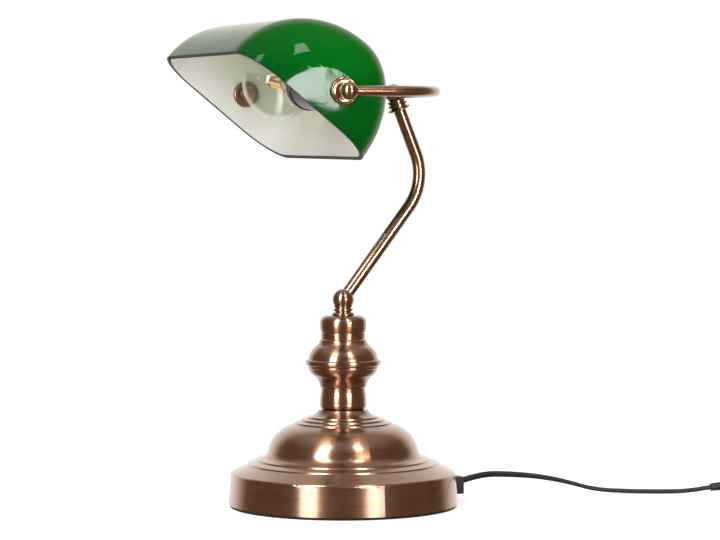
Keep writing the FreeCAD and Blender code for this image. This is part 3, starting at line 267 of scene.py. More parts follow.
def lathe_brass(name, place=Matrix(), lines=1.0):
    """Antique brass brushed on a lathe about the Z of the place given, under clear lacquer."""
    paint = new_paint(name)
    where = paint.place()
    x, y, z = paint.split(paint.moved(where, place))
    radius = (x * x + y * y + NOT_ZERO) ** 0.5
    along = z - radius
    round_x = x / radius
    round_y = y / radius
    line_at = paint.joined(round_x * 2.2, round_y * 2.2, along * (LATHE_LINES * lines))
    streak = paint.noise(line_at, 1.0, 4.0, 0.65)
    band_at = paint.joined(round_x * 0.8, round_y * 0.8, along * LATHE_BANDS)
    broad = paint.noise(band_at, 1.0, 3.0, 0.6)
    cloud = paint.noise(where, 28.0, 3.0, 0.55)
    tone = (streak * 0.45 + broad * 0.4 + cloud * 0.35 - 0.1).clamped()
    colour = paint.ramp(tone, ((0.30, BRASS_DARK), (0.72, BRASS_LIGHT)))
    rough = 0.21 + streak * 0.12 + cloud * 0.04
    normal = paint.bump(streak, 0.00005, 0.35)
    return paint.finish(base_color=colour, metallic=1.0, roughness=rough, normal=normal,
                        anisotropic=BRUSHED, anisotropic_rotation=ACROSS_LINES,
                        coat_weight=1.0, coat_roughness=0.17, coat_ior=LACQUER_IOR)


def drawn_brass(name):
    """Antique brass tube, polished along its length and lacquered."""
    paint = new_paint(name)
    where = paint.place()
    cloud = paint.noise(where, 60.0, 4.0, 0.6)
    colour = paint.ramp(cloud, ((0.25, BRASS_DARK), (0.80, BRASS_LIGHT)))
    return paint.finish(base_color=colour, metallic=1.0, roughness=0.22 + cloud * 0.08,
                        coat_weight=1.0, coat_roughness=0.10, coat_ior=LACQUER_IOR)


def bright_brass(name):
    """The turned bosses and rosettes at the shade's ends, a little brighter than the rest."""
    paint = new_paint(name)
    where = paint.place()
    cloud = paint.noise(where, 300.0, 3.0, 0.6)
    colour = paint.ramp(cloud, ((0.3, (0.42, 0.20, 0.10)), (0.7, (0.58, 0.34, 0.21))))
    return paint.finish(base_color=colour, metallic=1.0, roughness=0.16 + cloud * 0.12,
                        coat_weight=1.0, coat_roughness=0.06, coat_ior=LACQUER_IOR)


def steel(name, tone=0.5, roughness=0.3):
    paint = new_paint(name)
    where = paint.place()
    grain = paint.noise(where, 900.0, 3.0, 0.6)
    colour = paint.ramp(grain, ((0.2, (tone * 0.8,) * 3), (0.8, (tone, tone, tone * 0.98))))
    return paint.finish(base_color=colour, metallic=1.0, roughness=roughness + grain * 0.15)


def black_plastic(name, roughness=0.3, tone=(0.012, 0.011, 0.014)):
    paint = new_paint(name)
    where = paint.place()
    grain = paint.noise(where, 2200.0, 2.0, 0.5)
    cloud = paint.noise(where, 90.0, 3.0, 0.5)
    colour = paint.blend(cloud, tone, tuple(c * 1.7 for c in tone))
    return paint.finish(base_color=colour, roughness=roughness + cloud * 0.12,
                        normal=paint.bump(grain, 0.00003, 0.4), coat_weight=0.0)


def flex_black(name):
    """Matt black PVC of the flat flex."""
    paint = new_paint(name)
    where = paint.place()
    grain = paint.noise(where, 1600.0, 3.0, 0.6)
    cloud = paint.noise(where, 45.0, 2.0, 0.5)
    colour = paint.blend(cloud, (0.006, 0.006, 0.007), (0.016, 0.015, 0.016))
    return paint.finish(base_color=colour, roughness=0.42 + cloud * 0.15,
                        normal=paint.bump(grain, 0.00004, 0.4))


def felt(name):
    paint = new_paint(name)
    where = paint.place()
    fibre = paint.noise(where, 2600.0, 4.0, 0.7)
    colour = paint.blend(fibre, (0.003, 0.003, 0.003), (0.02, 0.02, 0.02))
    return paint.finish(base_color=colour, roughness=0.95, normal=paint.bump(fibre, 0.0002, 0.8))


def casting(name):
    paint = new_paint(name)
    where = paint.place()
    grit = paint.noise(where, 500.0, 5.0, 0.7)
    colour = paint.blend(grit, (0.03, 0.03, 0.032), (0.10, 0.095, 0.09))
    return paint.finish(base_color=colour, metallic=0.6, roughness=0.75,
                        normal=paint.bump(grit, 0.0004, 0.7))


EDGE_LINE = 0.6 * MM        # the dark line along the opening, on both layers
EDGE_COLOUR = (0.003, 0.010, 0.005)


def green_glass(name):
    """Outer layer of the cased glass: deep green, with painted shade that darkens it towards the opening
    and painted light towards the crown.
    """
    paint = new_paint(name)
    where = paint.place()
    _, _, height = paint.split(paint.moved(where, SHADE_PLACE))
    cloud = paint.noise(where, 14.0, 2.0, 0.5)
    # Painted shade and light: the green is darker towards the opening and lighter towards the crown.
    painted_light_share = (height / SHADE_HEIGHT + (cloud - 0.5) * 0.25).between(0.0, 0.9)
    body = paint.ramp(painted_light_share, ((0.0, (0.0002, 0.046, 0.004)), (0.45, (0.0003, 0.072, 0.005)),
                              (1.0, (0.001, 0.105, 0.006))))
    colour = paint.blend(height.between(EDGE_LINE, EDGE_LINE * 0.5), body, EDGE_COLOUR)
    ripple = paint.noise(where, 34.0, 1.0, 0.4) + paint.noise(where, 330.0, 2.0, 0.5) * 0.05
    return paint.finish(base_color=colour, roughness=0.04, normal=paint.bump(ripple, 0.0003, 0.6),
                        specular_ior_level=0.1)


def opal_glass(name):
    """Inner layer: opal white, painted darker and greener towards the crown, with painted shade deep in
    the hollow and painted green light shining through the casing.
    """
    paint = new_paint(name)
    where = paint.place()
    _, _, height = paint.split(paint.moved(where, SHADE_PLACE))
    cloud = paint.noise(where, 11.0, 2.0, 0.5)
    # Painted shade and painted green light: the inside grows darker and greener towards the crown.
    tint = (height / SHADE_HEIGHT + (cloud - 0.5) * 0.2).between(0.2, 1.0)
    body = paint.ramp(tint, ((0.0, (0.57, 0.57, 0.54)), (0.5, (0.46, 0.48, 0.38)),
                             (1.0, (0.19, 0.23, 0.10))))
    colour = paint.blend(height.between(EDGE_LINE, EDGE_LINE * 0.5), body, EDGE_COLOUR)
    ripple = paint.noise(where, 40.0, 1.0, 0.4)
    return paint.finish(base_color=colour, roughness=0.16, normal=paint.bump(ripple, 0.0006, 0.4),
                        coat_weight=0.25, coat_roughness=0.06)


def rim_glass(name):
    """Ground edge of the opening, where the green layer shows as a dark line."""
    paint = new_paint(name)
    where = paint.place()
    speck = paint.noise(where, 260.0, 2.0, 0.5)
    colour = paint.blend(speck, EDGE_COLOUR, tuple(tone * 1.8 for tone in EDGE_COLOUR))
    return paint.finish(base_color=colour, roughness=0.5, specular_ior_level=0.1)


SOFT_GLASS_IOR = 1.45


def clear_glass(name, tint):
    paint = new_paint(name)
    where = paint.place()
    haze = paint.noise(where, 70.0, 2.0, 0.5)
    return paint.finish(base_color=(*tint, 1.0), roughness=haze * 0.03, transmission_weight=1.0,
                        ior=SOFT_GLASS_IOR)


def thin_glass(name):
    """The bulb's blown wall: see-through, with reflections that grow towards its outline."""
    paint = new_paint(name)
    where = paint.place()
    ripple = paint.noise(where, 55.0, 2.0, 0.5)
    normal = paint.bump(ripple, 0.0004, 0.5)
    weight = paint.node("ShaderNodeLayerWeight", None, {"Blend": 0.35, "Normal": normal})
    facing = Value(paint, weight.outputs["Facing"])
    gloss = paint.node("ShaderNodeBsdfGlossy", None,
                       {"Color": (1.0, 1.0, 1.0, 1.0), "Roughness": 0.02, "Normal": normal})
    clear = paint.node("ShaderNodeBsdfTransparent", None, {"Color": (0.95, 0.965, 0.955, 1.0)})
    share = 0.055 + (facing ** 2.6) * 0.7
    mixed = paint.node("ShaderNodeMixShader", None,
                       {0: share, 1: clear.outputs[0], 2: gloss.outputs[0]})
    paint.node("ShaderNodeOutputMaterial", None, {0: mixed.outputs[0]})
    return paint.owner


def filament_coat_and_glow(name):
    """Phosphor-coated strip of an unlit filament, with a faint painted glow."""
    paint = new_paint(name)
    where = paint.place()
    grain = paint.noise(where, 1500.0, 2.0, 0.5)
    colour = paint.blend(grain, (0.86, 0.40, 0.08), (1.0, 0.60, 0.20))
    # Painted glow: the filament is not lit, but it is made to glow faintly.
    return paint.finish(base_color=colour, roughness=0.5, emission_color=(1.0, 0.55, 0.15, 1.0),
                        emission_strength=0.18)


def porcelain(name, tone):
    paint = new_paint(name)
    where = paint.place()
    cloud = paint.noise(where, 200.0, 2.0, 0.5)
    colour = paint.blend(cloud, tone, tuple(c * 0.85 for c in tone))
    return paint.finish(base_color=colour, roughness=0.25 + cloud * 0.1, coat_weight=0.3)


def fibre(name):
    paint = new_paint(name)
    where = paint.place()
    strand = paint.noise(where, 1200.0, 3.0, 0.6)
    colour = paint.blend(strand, (0.020, 0.012, 0.010), (0.06, 0.035, 0.028))
    return paint.finish(base_color=colour, roughness=0.7, normal=paint.bump(strand, 0.0001, 0.6))


def frame_of(origin, way):
    """A place whose Z runs along way."""
    return Matrix.Translation(origin) @ UP.rotation_difference(way).to_matrix().to_4x4()


ARM_LEAN = math.radians(37.5)     # the lower part of the arm, from upright
ARM_LOWER_WAY = Vector((0, math.sin(ARM_LEAN), math.cos(ARM_LEAN)))

NODE_FINISHES = (
    (lathe_brass("lathe_brass_upright"),
     "base_shell column_lower_shell column_belt_ring column_upper_shell neck_nut neck_socket"),
    (lathe_brass("lathe_brass_arm_ball", frame_of(ball, ARM_LOWER_WAY), 1.6), "arm_ball"),
    (lathe_brass("lathe_brass_collar", frame_of(hub, ARM_UPPER_WAY), 1.4), "arm_top_collar yoke_hub"),
    (lathe_brass("lathe_brass_yoke_ends", frame_of(pivot, Vector((1, 0, 0))), 1.6),
     "yoke_end_ball_left yoke_end_ball_right cup_washer dome_nut"),
    (drawn_brass("drawn_brass"), "arm_tube yoke_bar"),
    (bright_brass("bright_brass"), "yoke_boss_left yoke_boss_right rosette_left rosette_right"),
    (steel("zinc_steel"),
     "tie_tube tie_nut tie_washer base_plate plate_screws ball_keeper pivot_nipple_left"
     " pivot_nipple_right inner_nut holder_bracket switch_screws"),
    (steel("filament_wire", 0.22, 0.35), "filament_supports"),
    (steel("nickel_brass", 0.72, 0.18),
     "holder_screw_shell holder_contact lamp_tip_contact lamp_cap plug_pins"),
    (casting("iron_casting"), "base_ballast"),
    (felt("black_felt"), "felt_pad"),
    (fibre("fibre_washer"), "gasket_pair_left gasket_pair_right"),
    (black_plastic("holder_black", 0.22, (0.010, 0.007, 0.011)), "holder_cap holder_skirt"),
    (black_plastic("moulded_black", 0.38), "cord_grip switch_case_lower switch_case_upper plug_body"),
    (black_plastic("rocker_black", 0.25, (0.02, 0.02, 0.021)), "switch_rocker"),
    (flex_black("lead_black"), "base_lead arm_lead yoke_lead"),
    (porcelain("holder_porcelain", (0.72, 0.70, 0.64)), "holder_core"),
    (porcelain("cap_black_glass", (0.02, 0.02, 0.025)), "lamp_cap_insulator"),
    (thin_glass("bulb_blown_glass"), "bulb_glass"),
    (clear_glass("stem_glass", (0.93, 0.96, 0.94)), "bulb_stem"),
    (filament_coat_and_glow("filament_phosphor_painted_glow"), "filaments"),
)


def finish_nodes():
    for material, names in NODE_FINISHES:
        for name in names.split():
            node = frame["nodes"][name]
            node.data.materials.clear()
            node.data.materials.append(material)


finish_nodes()


# ---- mesh tools ---------------------------------------------------------------------------------

def placed_in_scene(name, data):
    thing = bpy.data.objects.new(name, data)
    bpy.context.scene.collection.objects.link(thing)
    return thing


def smooth_piece(name, mesh, *materials):
    for polygon in mesh.polygons:
        polygon.use_smooth = True
    for material in materials:
        mesh.materials.append(material)
    return placed_in_scene(name, mesh)


def mesh_piece(name, points, faces, material):
    mesh = bpy.data.meshes.new(name)
    mesh.from_pydata([tuple(point) for point in points], [], faces)
    mesh.validate()
    return smooth_piece(name, mesh, material)


def sharp_by_angle(piece, degrees):
    piece.data.set_sharp_from_angle(angle=math.radians(degrees))


def tube_faces(rows, columns):
    """Quads between closed rows of points; each row has the same number of points."""
    faces = []
    for row in range(rows - 1):
        for column in range(columns):
            here = row * columns + column
            beside = row * columns + (column + 1) % columns
            faces.append((here, beside, beside + columns, here + columns))
    return faces


def face_outward(piece):
    """Turns a closed mesh right way out if its volume comes out negative."""
    mesh = piece.data
    mesh.calc_loop_triangles()
    volume = 0.0
    for triangle in mesh.loop_triangles:
        a, b, c = (mesh.vertices[index].co for index in triangle.vertices)
        volume += a.dot(b.cross(c))
    if volume < 0:
        mesh.flip_normals()


# ---- cased glass shade --------------------------------------------------------------------------

PROFILE_POINTS = 96
ROUND_STEPS = 14
LENGTH_STEPS = 6
CAP_STEPS = 7
CHORD_STEPS = 12
SAME_POINT = 1e7            # points within a tenth of a micrometre are one corner


def profile_loop(inset):
    """From the front edge over the crown to the back edge: (y, z) points."""
    half = PROFILE_POINTS // 2
    curve = []
    for number in range(PROFILE_POINTS + 1):
        angle = math.pi * number / PROFILE_POINTS
        reach = SHADE_FRONT if number <= half else SHADE_BACK
        y = -reach * math.cos(angle)
        z = SHADE_HEIGHT * math.sin(angle)
        slope = Vector((-math.cos(angle) / reach, math.sin(angle) / SHADE_HEIGHT)).normalized()
        curve.append((y - slope.x * inset, z - slope.y * inset))
    return curve


def shade_stations(inset):
    """Stations from the middle to the end: distance along X and how far the profile has drawn in."""
    half = SHADE_HALF - inset
    fillet = SHADE_ROUND - inset
    straight = half - fillet
    stations = [(straight * step / LENGTH_STEPS, inset) for step in range(LENGTH_STEPS)]
    for step in range(ROUND_STEPS + 1):
        angle = math.pi / 2 * step / ROUND_STEPS
        stations.append((straight + fillet * math.sin(angle), inset + fillet * (1 - math.cos(angle))))
    return stations


def end_cap(inset, side):
    """Rows of (x, y, z) points from the outline of one flat end in to its pivot hole; each row closes."""
    outline = profile_loop(SHADE_ROUND)
    (back_y, _), (front_y, _) = outline[-1], outline[0]
    outline += [(back_y + (front_y - back_y) * step / CHORD_STEPS, 0.0) for step in range(1, CHORD_STEPS)]
    x = side * (SHADE_HALF - inset)
    rows = []
    for step in range(CAP_STEPS + 1):
        share = step / CAP_STEPS
        row = []
        for y, z in outline:
            away = Vector((y - PIVOT_BEHIND_CROWN, z - PIVOT_HEIGHT))
            point = away.lerp(away.normalized() * PIVOT_HOLE, share)
            row.append((x, PIVOT_BEHIND_CROWN + point.x, PIVOT_HEIGHT + point.y))
        rows.append(row)
    return rows


def long_sheet(inset):
    """Rows of (x, y, z) points from one end's outline to the other's; each row opens at the edge."""
    stations = shade_stations(inset)
    stations = [(-x, drawn_in) for x, drawn_in in reversed(stations[1:])] + stations
    return [[(x, y, z) for y, z in profile_loop(drawn_in)] for x, drawn_in in stations]


def opening_loop(rows, caps):
    """The closed edge of the opening, round both long sides and both ends."""
    chords = [cap[0][PROFILE_POINTS:] + cap[0][:1] for cap in caps]
    front = [row[0] for row in rows]
    back = [row[-1] for row in rows]
    return front + chords[1][::-1][1:] + back[::-1][1:] + chords[0][1:-1]


class GlassForm:
    """Quads that share their corners, gathered into one closed mesh."""

    def __init__(self):
        self.form = bmesh.new()
        self.known = {}

    def corner(self, point):
        key = tuple(round(value * SAME_POINT) for value in point)
        if key not in self.known:
            self.known[key] = self.form.verts.new(point)
        return self.known[key]

    def quads(self, rows, closes, finish=0):
        """Fills between rows of points; finish is the number of the faces' material."""
        for row, following in zip(rows, rows[1:]):
            count = len(row)
            for here in range(count if closes else count - 1):
                there = (here + 1) % count
                points = (row[here], row[there], following[there], following[here])
                self.form.faces.new([self.corner(point) for point in points]).material_index = finish

    def mesh(self, name, place):
        bmesh.ops.recalc_face_normals(self.form, faces=self.form.faces)
        self.form.transform(place)
        mesh = bpy.data.meshes.new(name)
        self.form.to_mesh(mesh)
        self.form.free()
        return mesh


def layer_of_shade(name, outer_inset, inner_inset, material, edge_material):
    """One closed layer of glass between two insets; its ground edges have a finish of their own."""
    glass = GlassForm()
    loops = []
    for inset in (outer_inset, inner_inset):
        rows = long_sheet(inset)
        caps = [end_cap(inset, side) for side in (-1, 1)]
        glass.quads(rows, False)
        for cap in caps:
            glass.quads(cap, True)
        loops.append([opening_loop(rows, caps)] + [cap[-1] for cap in caps])
    for outer_loop, inner_loop in zip(*loops):
        glass.quads([outer_loop, inner_loop], True, 1)
    return smooth_piece(name, glass.mesh(name, SHADE_PLACE), material, edge_material)


SHADE_LAYERS = (
    ("shade_green_layer", 0.0, GREEN_LAYER,
     green_glass("green_glass"), rim_glass("green_glass_edge")),
    ("shade_opal_layer", GREEN_LAYER + LAYER_GAP, GLASS_WALL,
     opal_glass("opal_glass"), rim_glass("opal_glass_edge")),
)


def make_shade():
    layers = [layer_of_shade(*layer) for layer in SHADE_LAYERS]
    for layer in layers:
        sharp_by_angle(layer, 40)
        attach(layer, "shade")
    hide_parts("glass_shade")


make_shade()


# ---- flat flex ----------------------------------------------------------------------------------

LOBE_RADIUS = 1.7 * MM
LOBE_OUT = 1.0 * MM
LOBE_STEPS = 10
FLEX_WIDTH = 2 * (LOBE_OUT + LOBE_RADIUS)
FLEX_LIES_AT = 1.8 * MM
FLEX_SMOOTHNESS = 5         # steps between the route's points
ON_EDGE = math.radians(62)  # how far the flex leans as it leaves its grip
FLAT_AFTER = 125 * MM       # how far along it lies flat

SWITCH_START = Vector((46.0, 325.0, 6.5)) * MM
SWITCH_FAR_END = Vector((51.77, 382.71, 6.5)) * MM
PLUG_BACK = Vector((147.5, 342.0, 7.0)) * MM

# The route of the flex in millimetres: the CAD tube's points, a little lower where the flatter flex lies.
RUN_ROUTE = [(0, 100.3, 14.8), (-1, 118, 19.4), (-2, 142, 18.2), (0, 166, 15.8), (3, 190, 11),
             (8, 214, 3.6), (15, 239, 2.0), (25, 262, 1.8), (36, 284, 2.4), (44, 305, 6.3),
             (46, 325, 6.5)]
SWITCH_ROUTE = [(48.9, 353.9, 6.5), (51.77, 382.71, 6.5)]
TAIL_ROUTE = [(54, 404.6, 5.5), (69.6, 420.2, 2.4), (92.4, 423.4, 1.8)]
PLUG_ROUTE = [(149, 366, 8), (147.5, 342, 7)]

COIL_CENTRE = Vector((117.5, 389.0)) * MM
COIL_RADIUS = 30.9 * MM
COIL_COLUMN = 2.9 * MM
COIL_LAYER = 3.5 * MM
COIL_FIRST_ANGLE = 100.0
COIL_TURNS = 7 + COIL_FIRST_ANGLE / 360.0
POINTS_PER_TURN = 16
# Each turn's column, outer or inner, and its layer.
COIL_SLOTS = ((1, 0), (-1, 0), (-1, 1), (1, 1), (1, 2), (-1, 2), (-1, 3), (1, 3))
SHIFT_SHARE = 0.22          # the part of a turn in which it moves over to the next slot
UNEVEN = 0.15               # how far a turn strays from its slot, in millimetres
TIE_ANGLE = 200.0
TIE_THICKNESS = 0.8 * MM
TIE_BAND = 0.8 * TIE_THICKNESS    # the band's own wall; the rest is air
TIE_WIDTH = 5.0 * MM
TIE_CORNER = 3.0 * MM
TIE_SLACK = 0.6 * MM
TIE_STEPS = 40
TIE_REACH = 22.0            # degrees over which the turns rise onto the tie


def eased(share):
    share = min(max(share, 0.0), 1.0)
    return share * share * (3 - 2 * share)


def coil_route():
    """The put-away turns lie beside and on each other, and shift over near the end of each turn."""
    rng = random.Random(7)
    steps = round(COIL_TURNS * POINTS_PER_TURN)
    points = []
    for step in range(steps + 1):
        turned = COIL_TURNS * step / steps
        number = min(int(turned), len(COIL_SLOTS) - 1)
        following = min(number + 1, len(COIL_SLOTS) - 1)
        shift = eased((turned - number - (1 - SHIFT_SHARE)) / SHIFT_SHARE)
        column = COIL_SLOTS[number][0] + (COIL_SLOTS[following][0] - COIL_SLOTS[number][0]) * shift
        layer = COIL_SLOTS[number][1] + (COIL_SLOTS[following][1] - COIL_SLOTS[number][1]) * shift
        degrees = COIL_FIRST_ANGLE - 360.0 * turned
        from_tie = (degrees - TIE_ANGLE + 180.0) % 360.0 - 180.0
        lift = TIE_THICKNESS * math.exp(-(from_tie / TIE_REACH) ** 2)
        radius = COIL_RADIUS + COIL_COLUMN * column + rng.uniform(-UNEVEN, UNEVEN) * MM
        points.append((COIL_CENTRE.x + radius * math.cos(math.radians(degrees)),
                       COIL_CENTRE.y + radius * math.sin(math.radians(degrees)),
                       FLEX_LIES_AT + COIL_LAYER * layer + lift))
    return points


def in_metres(route):
    return [tuple(Vector(point) * MM) for point in route]


def smooth_path(name, points):
    """Points along a NURBS spline whose control points are the ones given."""
    data = bpy.data.curves.new(name, "CURVE")
    data.dimensions = "3D"
    data.resolution_u = FLEX_SMOOTHNESS
    spline = data.splines.new("NURBS")
    spline.points.add(len(points) - 1)
    for control, point in zip(spline.points, points):
        control.co = (*point, 1.0)
    spline.order_u = 3
    spline.use_endpoint_u = True
    curve = placed_in_scene(name, data)
    bpy.context.view_layer.update()
    mesh = bpy.data.meshes.new_from_object(curve)
    path = [vertex.co.copy() for vertex in mesh.vertices]
    bpy.data.meshes.remove(mesh)
    bpy.data.objects.remove(curve)
    bpy.data.curves.remove(data)
    return path


def flex_section():
    """Outline of two round cores side by side in one sheath: (across, up) points."""
    half_arc = math.pi - math.acos(LOBE_OUT / LOBE_RADIUS)
    outline = []
    for core_at, facing in ((LOBE_OUT, 0.0), (-LOBE_OUT, math.pi)):
        for step in range(LOBE_STEPS + 1):
            angle = facing + half_arc * (2 * step / LOBE_STEPS - 1)
            outline.append((core_at + LOBE_RADIUS * math.cos(angle), LOBE_RADIUS * math.sin(angle)))
    return outline


def swept(name, path, outline, material, turn):
    """A closed tube of the outline along the path, level but for the turn at each distance along it."""
    points = []
    travelled = 0.0
    for number, here in enumerate(path):
        before = path[max(number - 1, 0)]
        after = path[min(number + 1, len(path) - 1)]
        way = (after - before).normalized()
        travelled += (here - before).length
        level = way.cross(UP).normalized()
        angle = turn(travelled)
        across = level * math.cos(angle) + level.cross(way) * math.sin(angle)
        rise = across.cross(way)
        points += [here + across * u + rise * v for u, v in outline]
    count = len(outline)
    faces = tube_faces(len(path), count)
    faces.append(tuple(range(count))[::-1])
    faces.append(tuple(range((len(path) - 1) * count, len(path) * count)))
    piece = mesh_piece(name, points, faces, material)
    face_outward(piece)
    return piece


def leaves_upright(travelled):
    """The flex leaves its grip nearly on edge and lies down by the time it reaches the table."""
    return ON_EDGE * (1 - eased(travelled / FLAT_AFTER))


def make_flex():
    route = in_metres(RUN_ROUTE + SWITCH_ROUTE + TAIL_ROUTE) + coil_route() + in_metres(PLUG_ROUTE)
    path = smooth_path("flex_route", route)
    flex = swept("mains_flex", path, flex_section(), flex_black("flex_black"), leaves_upright)
    sharp_by_angle(flex, 50)
    return flex, path


flex, flex_path = make_flex()


def stretch_from(path, start, length):
    """The path's points from the one nearest to start, on for the length, or back for a minus one."""
    number = min(range(len(path)), key=lambda index: (path[index] - start).length)
    step = 1 if length > 0 else -1
    points = [path[number]]
    covered = 0.0
    while covered < abs(length):
        number += step
        covered += (path[number] - points[-1]).length
        points.append(path[number])
    return points


# ---- strain reliefs: a tapered sleeve and its ribs follow the flex ------------------------------

RIB_RADIUS = 0.45 * MM
SLEEVE_SIDES = 28
RIB_SIDES = 10


def relief_sockets(tree):
    """The tree's geometry in and out, and its named sizes."""
    tree.interface.new_socket("Geometry", in_out="INPUT", socket_type="NodeSocketGeometry")
    for name, kind in (("Root Radius", "NodeSocketFloat"), ("Tip Radius", "NodeSocketFloat"),
                       ("Rib Radius", "NodeSocketFloat"), ("Ribs", "NodeSocketInt"),
                       ("Material", "NodeSocketMaterial")):
        tree.interface.new_socket(name, in_out="INPUT", socket_type=kind)
    tree.interface.new_socket("Geometry", in_out="OUTPUT", socket_type="NodeSocketGeometry")


def node_adder(tree):
    """A function that adds a node to the tree, with its settings and its sockets' values or links."""
    def add(kind, settings=None, inputs=None):
        node = tree.nodes.new(kind)
        for key, value in (settings or {}).items():
            setattr(node, key, value)
        for key, value in (inputs or {}).items():
            if isinstance(value, bpy.types.NodeSocket):
                tree.links.new(value, node.inputs[key])
            else:
                node.inputs[key].default_value = value
        return node
    return add


def relief_tree():
    """Geometry Nodes: a sleeve that tapers along the path given, with evenly spaced ribs on it."""
    tree = bpy.data.node_groups.new("strain_relief", "GeometryNodeTree")
    relief_sockets(tree)
    add = node_adder(tree)
    given = add("NodeGroupInput").outputs
    line = add("GeometryNodeMeshToCurve", None, {"Mesh": given["Geometry"]}).outputs[0]
    along = add("GeometryNodeSplineParameter").outputs["Factor"]
    radius = add("ShaderNodeMapRange", {"interpolation_type": "SMOOTHSTEP"}, {
        "Value": along, "From Min": 0.0, "From Max": 1.0,
        "To Min": given["Root Radius"], "To Max": given["Tip Radius"]}).outputs[0]
    shaped = add("GeometryNodeSetCurveRadius", None, {"Curve": line, "Radius": radius}).outputs[0]
    unit = add("GeometryNodeCurvePrimitiveCircle", None,
               {"Resolution": SLEEVE_SIDES, "Radius": 1.0}).outputs[0]
    sleeve = add("GeometryNodeCurveToMesh", None,
                 {"Curve": shaped, "Profile Curve": unit, "Scale": radius, "Fill Caps": True}).outputs[0]
    spots = add("GeometryNodeResampleCurve", None, {"Curve": line, "Count": given["Ribs"]}).outputs[0]
    rib_share = add("ShaderNodeMath", {"operation": "DIVIDE"},
                    {0: given["Rib Radius"], 1: given["Root Radius"]}).outputs[0]
    section = add("GeometryNodeCurvePrimitiveCircle", None,
                  {"Resolution": RIB_SIDES, "Radius": rib_share}).outputs[0]
    rib = add("GeometryNodeCurveToMesh", None, {"Curve": unit, "Profile Curve": section}).outputs[0]
    heading = add("GeometryNodeInputTangent").outputs[0]
    facing = add("FunctionNodeAlignRotationToVector", {"axis": "Z"}, {"Vector": heading}).outputs[0]
    ribs = add("GeometryNodeInstanceOnPoints", None, {
        "Points": spots, "Instance": rib, "Rotation": facing, "Scale": radius}).outputs[0]
    joined = add("GeometryNodeJoinGeometry")
    tree.links.new(sleeve, joined.inputs[0])
    tree.links.new(ribs, joined.inputs[0])
    solid = add("GeometryNodeRealizeInstances", None, {0: joined.outputs[0]}).outputs[0]
    smooth = add("GeometryNodeSetShadeSmooth", None, {0: solid}).outputs[0]
    painted = add("GeometryNodeSetMaterial", None,
                  {"Geometry": smooth, "Material": given["Material"]}).outputs[0]
    add("NodeGroupOutput", None, {0: painted})
    return tree


RELIEF_TREE = relief_tree()
SOFT_BLACK = black_plastic("relief_black", 0.42)


def make_relief(name, start, length, root, tip, ribs):
    """A sleeve on the flex from start, for the length; a minus length runs back towards the lamp."""
    points = stretch_from(flex_path, start, length)
    mesh = bpy.data.meshes.new(name)
    mesh.from_pydata(points, [(number, number + 1) for number in range(len(points) - 1)], [])
    source = placed_in_scene(name + "_path", mesh)
    modifier = source.modifiers.new("relief", "NODES")
    modifier.node_group = RELIEF_TREE
    values = {"Root Radius": root, "Tip Radius": tip, "Rib Radius": RIB_RADIUS, "Ribs": ribs,
              "Material": SOFT_BLACK}
    for item in RELIEF_TREE.interface.items_tree:
        if item.in_out == "INPUT" and item.name in values:
            modifier[item.identifier] = values[item.name]
    bpy.context.view_layer.update()
    evaluated = source.evaluated_get(bpy.context.evaluated_depsgraph_get())
    made = bpy.data.meshes.new_from_object(evaluated)
    made.name = name
    bpy.data.objects.remove(source)
    piece = placed_in_scene(name, made)
    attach(piece, "base")
    return piece


SWITCH_RELIEF = 22 * MM
PLUG_RELIEF = 24 * MM
SWITCH_ROOT = 4.6 * MM
PLUG_ROOT = 5.0 * MM
RELIEF_TIP = 3.1 * MM

reliefs = [
    make_relief("switch_relief_near", SWITCH_START, -SWITCH_RELIEF, SWITCH_ROOT, RELIEF_TIP, 7),
    make_relief("switch_relief_far", SWITCH_FAR_END, SWITCH_RELIEF, SWITCH_ROOT, RELIEF_TIP, 7),
    make_relief("plug_relief", PLUG_BACK, -PLUG_RELIEF, PLUG_ROOT, RELIEF_TIP, 8),
]


# ---- tie round the put-away turns ---------------------------------------------------------------

def tie_corner(turn, inset, half_width, half_height):
    """A point of the band's rounded section: out from and above the coil's centre line."""
    reach = TIE_CORNER - inset
    outer = 1 if math.cos(turn) > 0 else -1
    upper = 1 if math.sin(turn) > 0 else -1
    return (outer * (half_width - TIE_CORNER) + reach * math.cos(turn),
            upper * (half_height - TIE_CORNER) + reach * math.sin(turn))


def make_tie():
    """A flat band round the coil's section."""
    half_width = COIL_COLUMN + FLEX_WIDTH / 2 + TIE_SLACK
    top_layer = max(layer for _, layer in COIL_SLOTS)
    height = FLEX_LIES_AT + top_layer * COIL_LAYER + LOBE_RADIUS + TIE_THICKNESS
    angle = math.radians(TIE_ANGLE)
    outward = Vector((math.cos(angle), math.sin(angle), 0))
    along = Vector((-math.sin(angle), math.cos(angle), 0))
    centre = COIL_CENTRE.to_3d() + outward * COIL_RADIUS + UP * (height + TIE_THICKNESS) / 2
    points = []
    faces = []
    for step in range(TIE_STEPS):
        for inset in (0.0, TIE_BAND):
            out, above = tie_corner(math.tau * step / TIE_STEPS, inset, half_width, height / 2)
            for side in (-0.5, 0.5):
                points.append(centre + outward * out + UP * above + along * (side * TIE_WIDTH))
        here = step * 4
        beyond = ((step + 1) % TIE_STEPS) * 4
        for first, second in ((0, 1), (1, 3), (3, 2), (2, 0)):
            faces.append((here + first, here + second, beyond + second, beyond + first))
    band = mesh_piece("coil_tie", points, faces, SOFT_BLACK)
    face_outward(band)
    sharp_by_angle(band, 40)
    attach(band, "base")
    return band


tie = make_tie()


def declare_flex():
    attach(flex, "base")
    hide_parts("cord_run", "cord_tail", "cord_end", "cord_coil")


declare_flex()


# ---- stage and light ----------------------------------------------------------------------------

FLOOR_RADIUS = 4.0
FLOOR_SIDES = 64
FLOOR_TOP = -0.3 * MM
GLOW_FROM = 0.15            # the floor glows more from here on, until it is as light as the backdrop
GLOW_FULL = 1.1


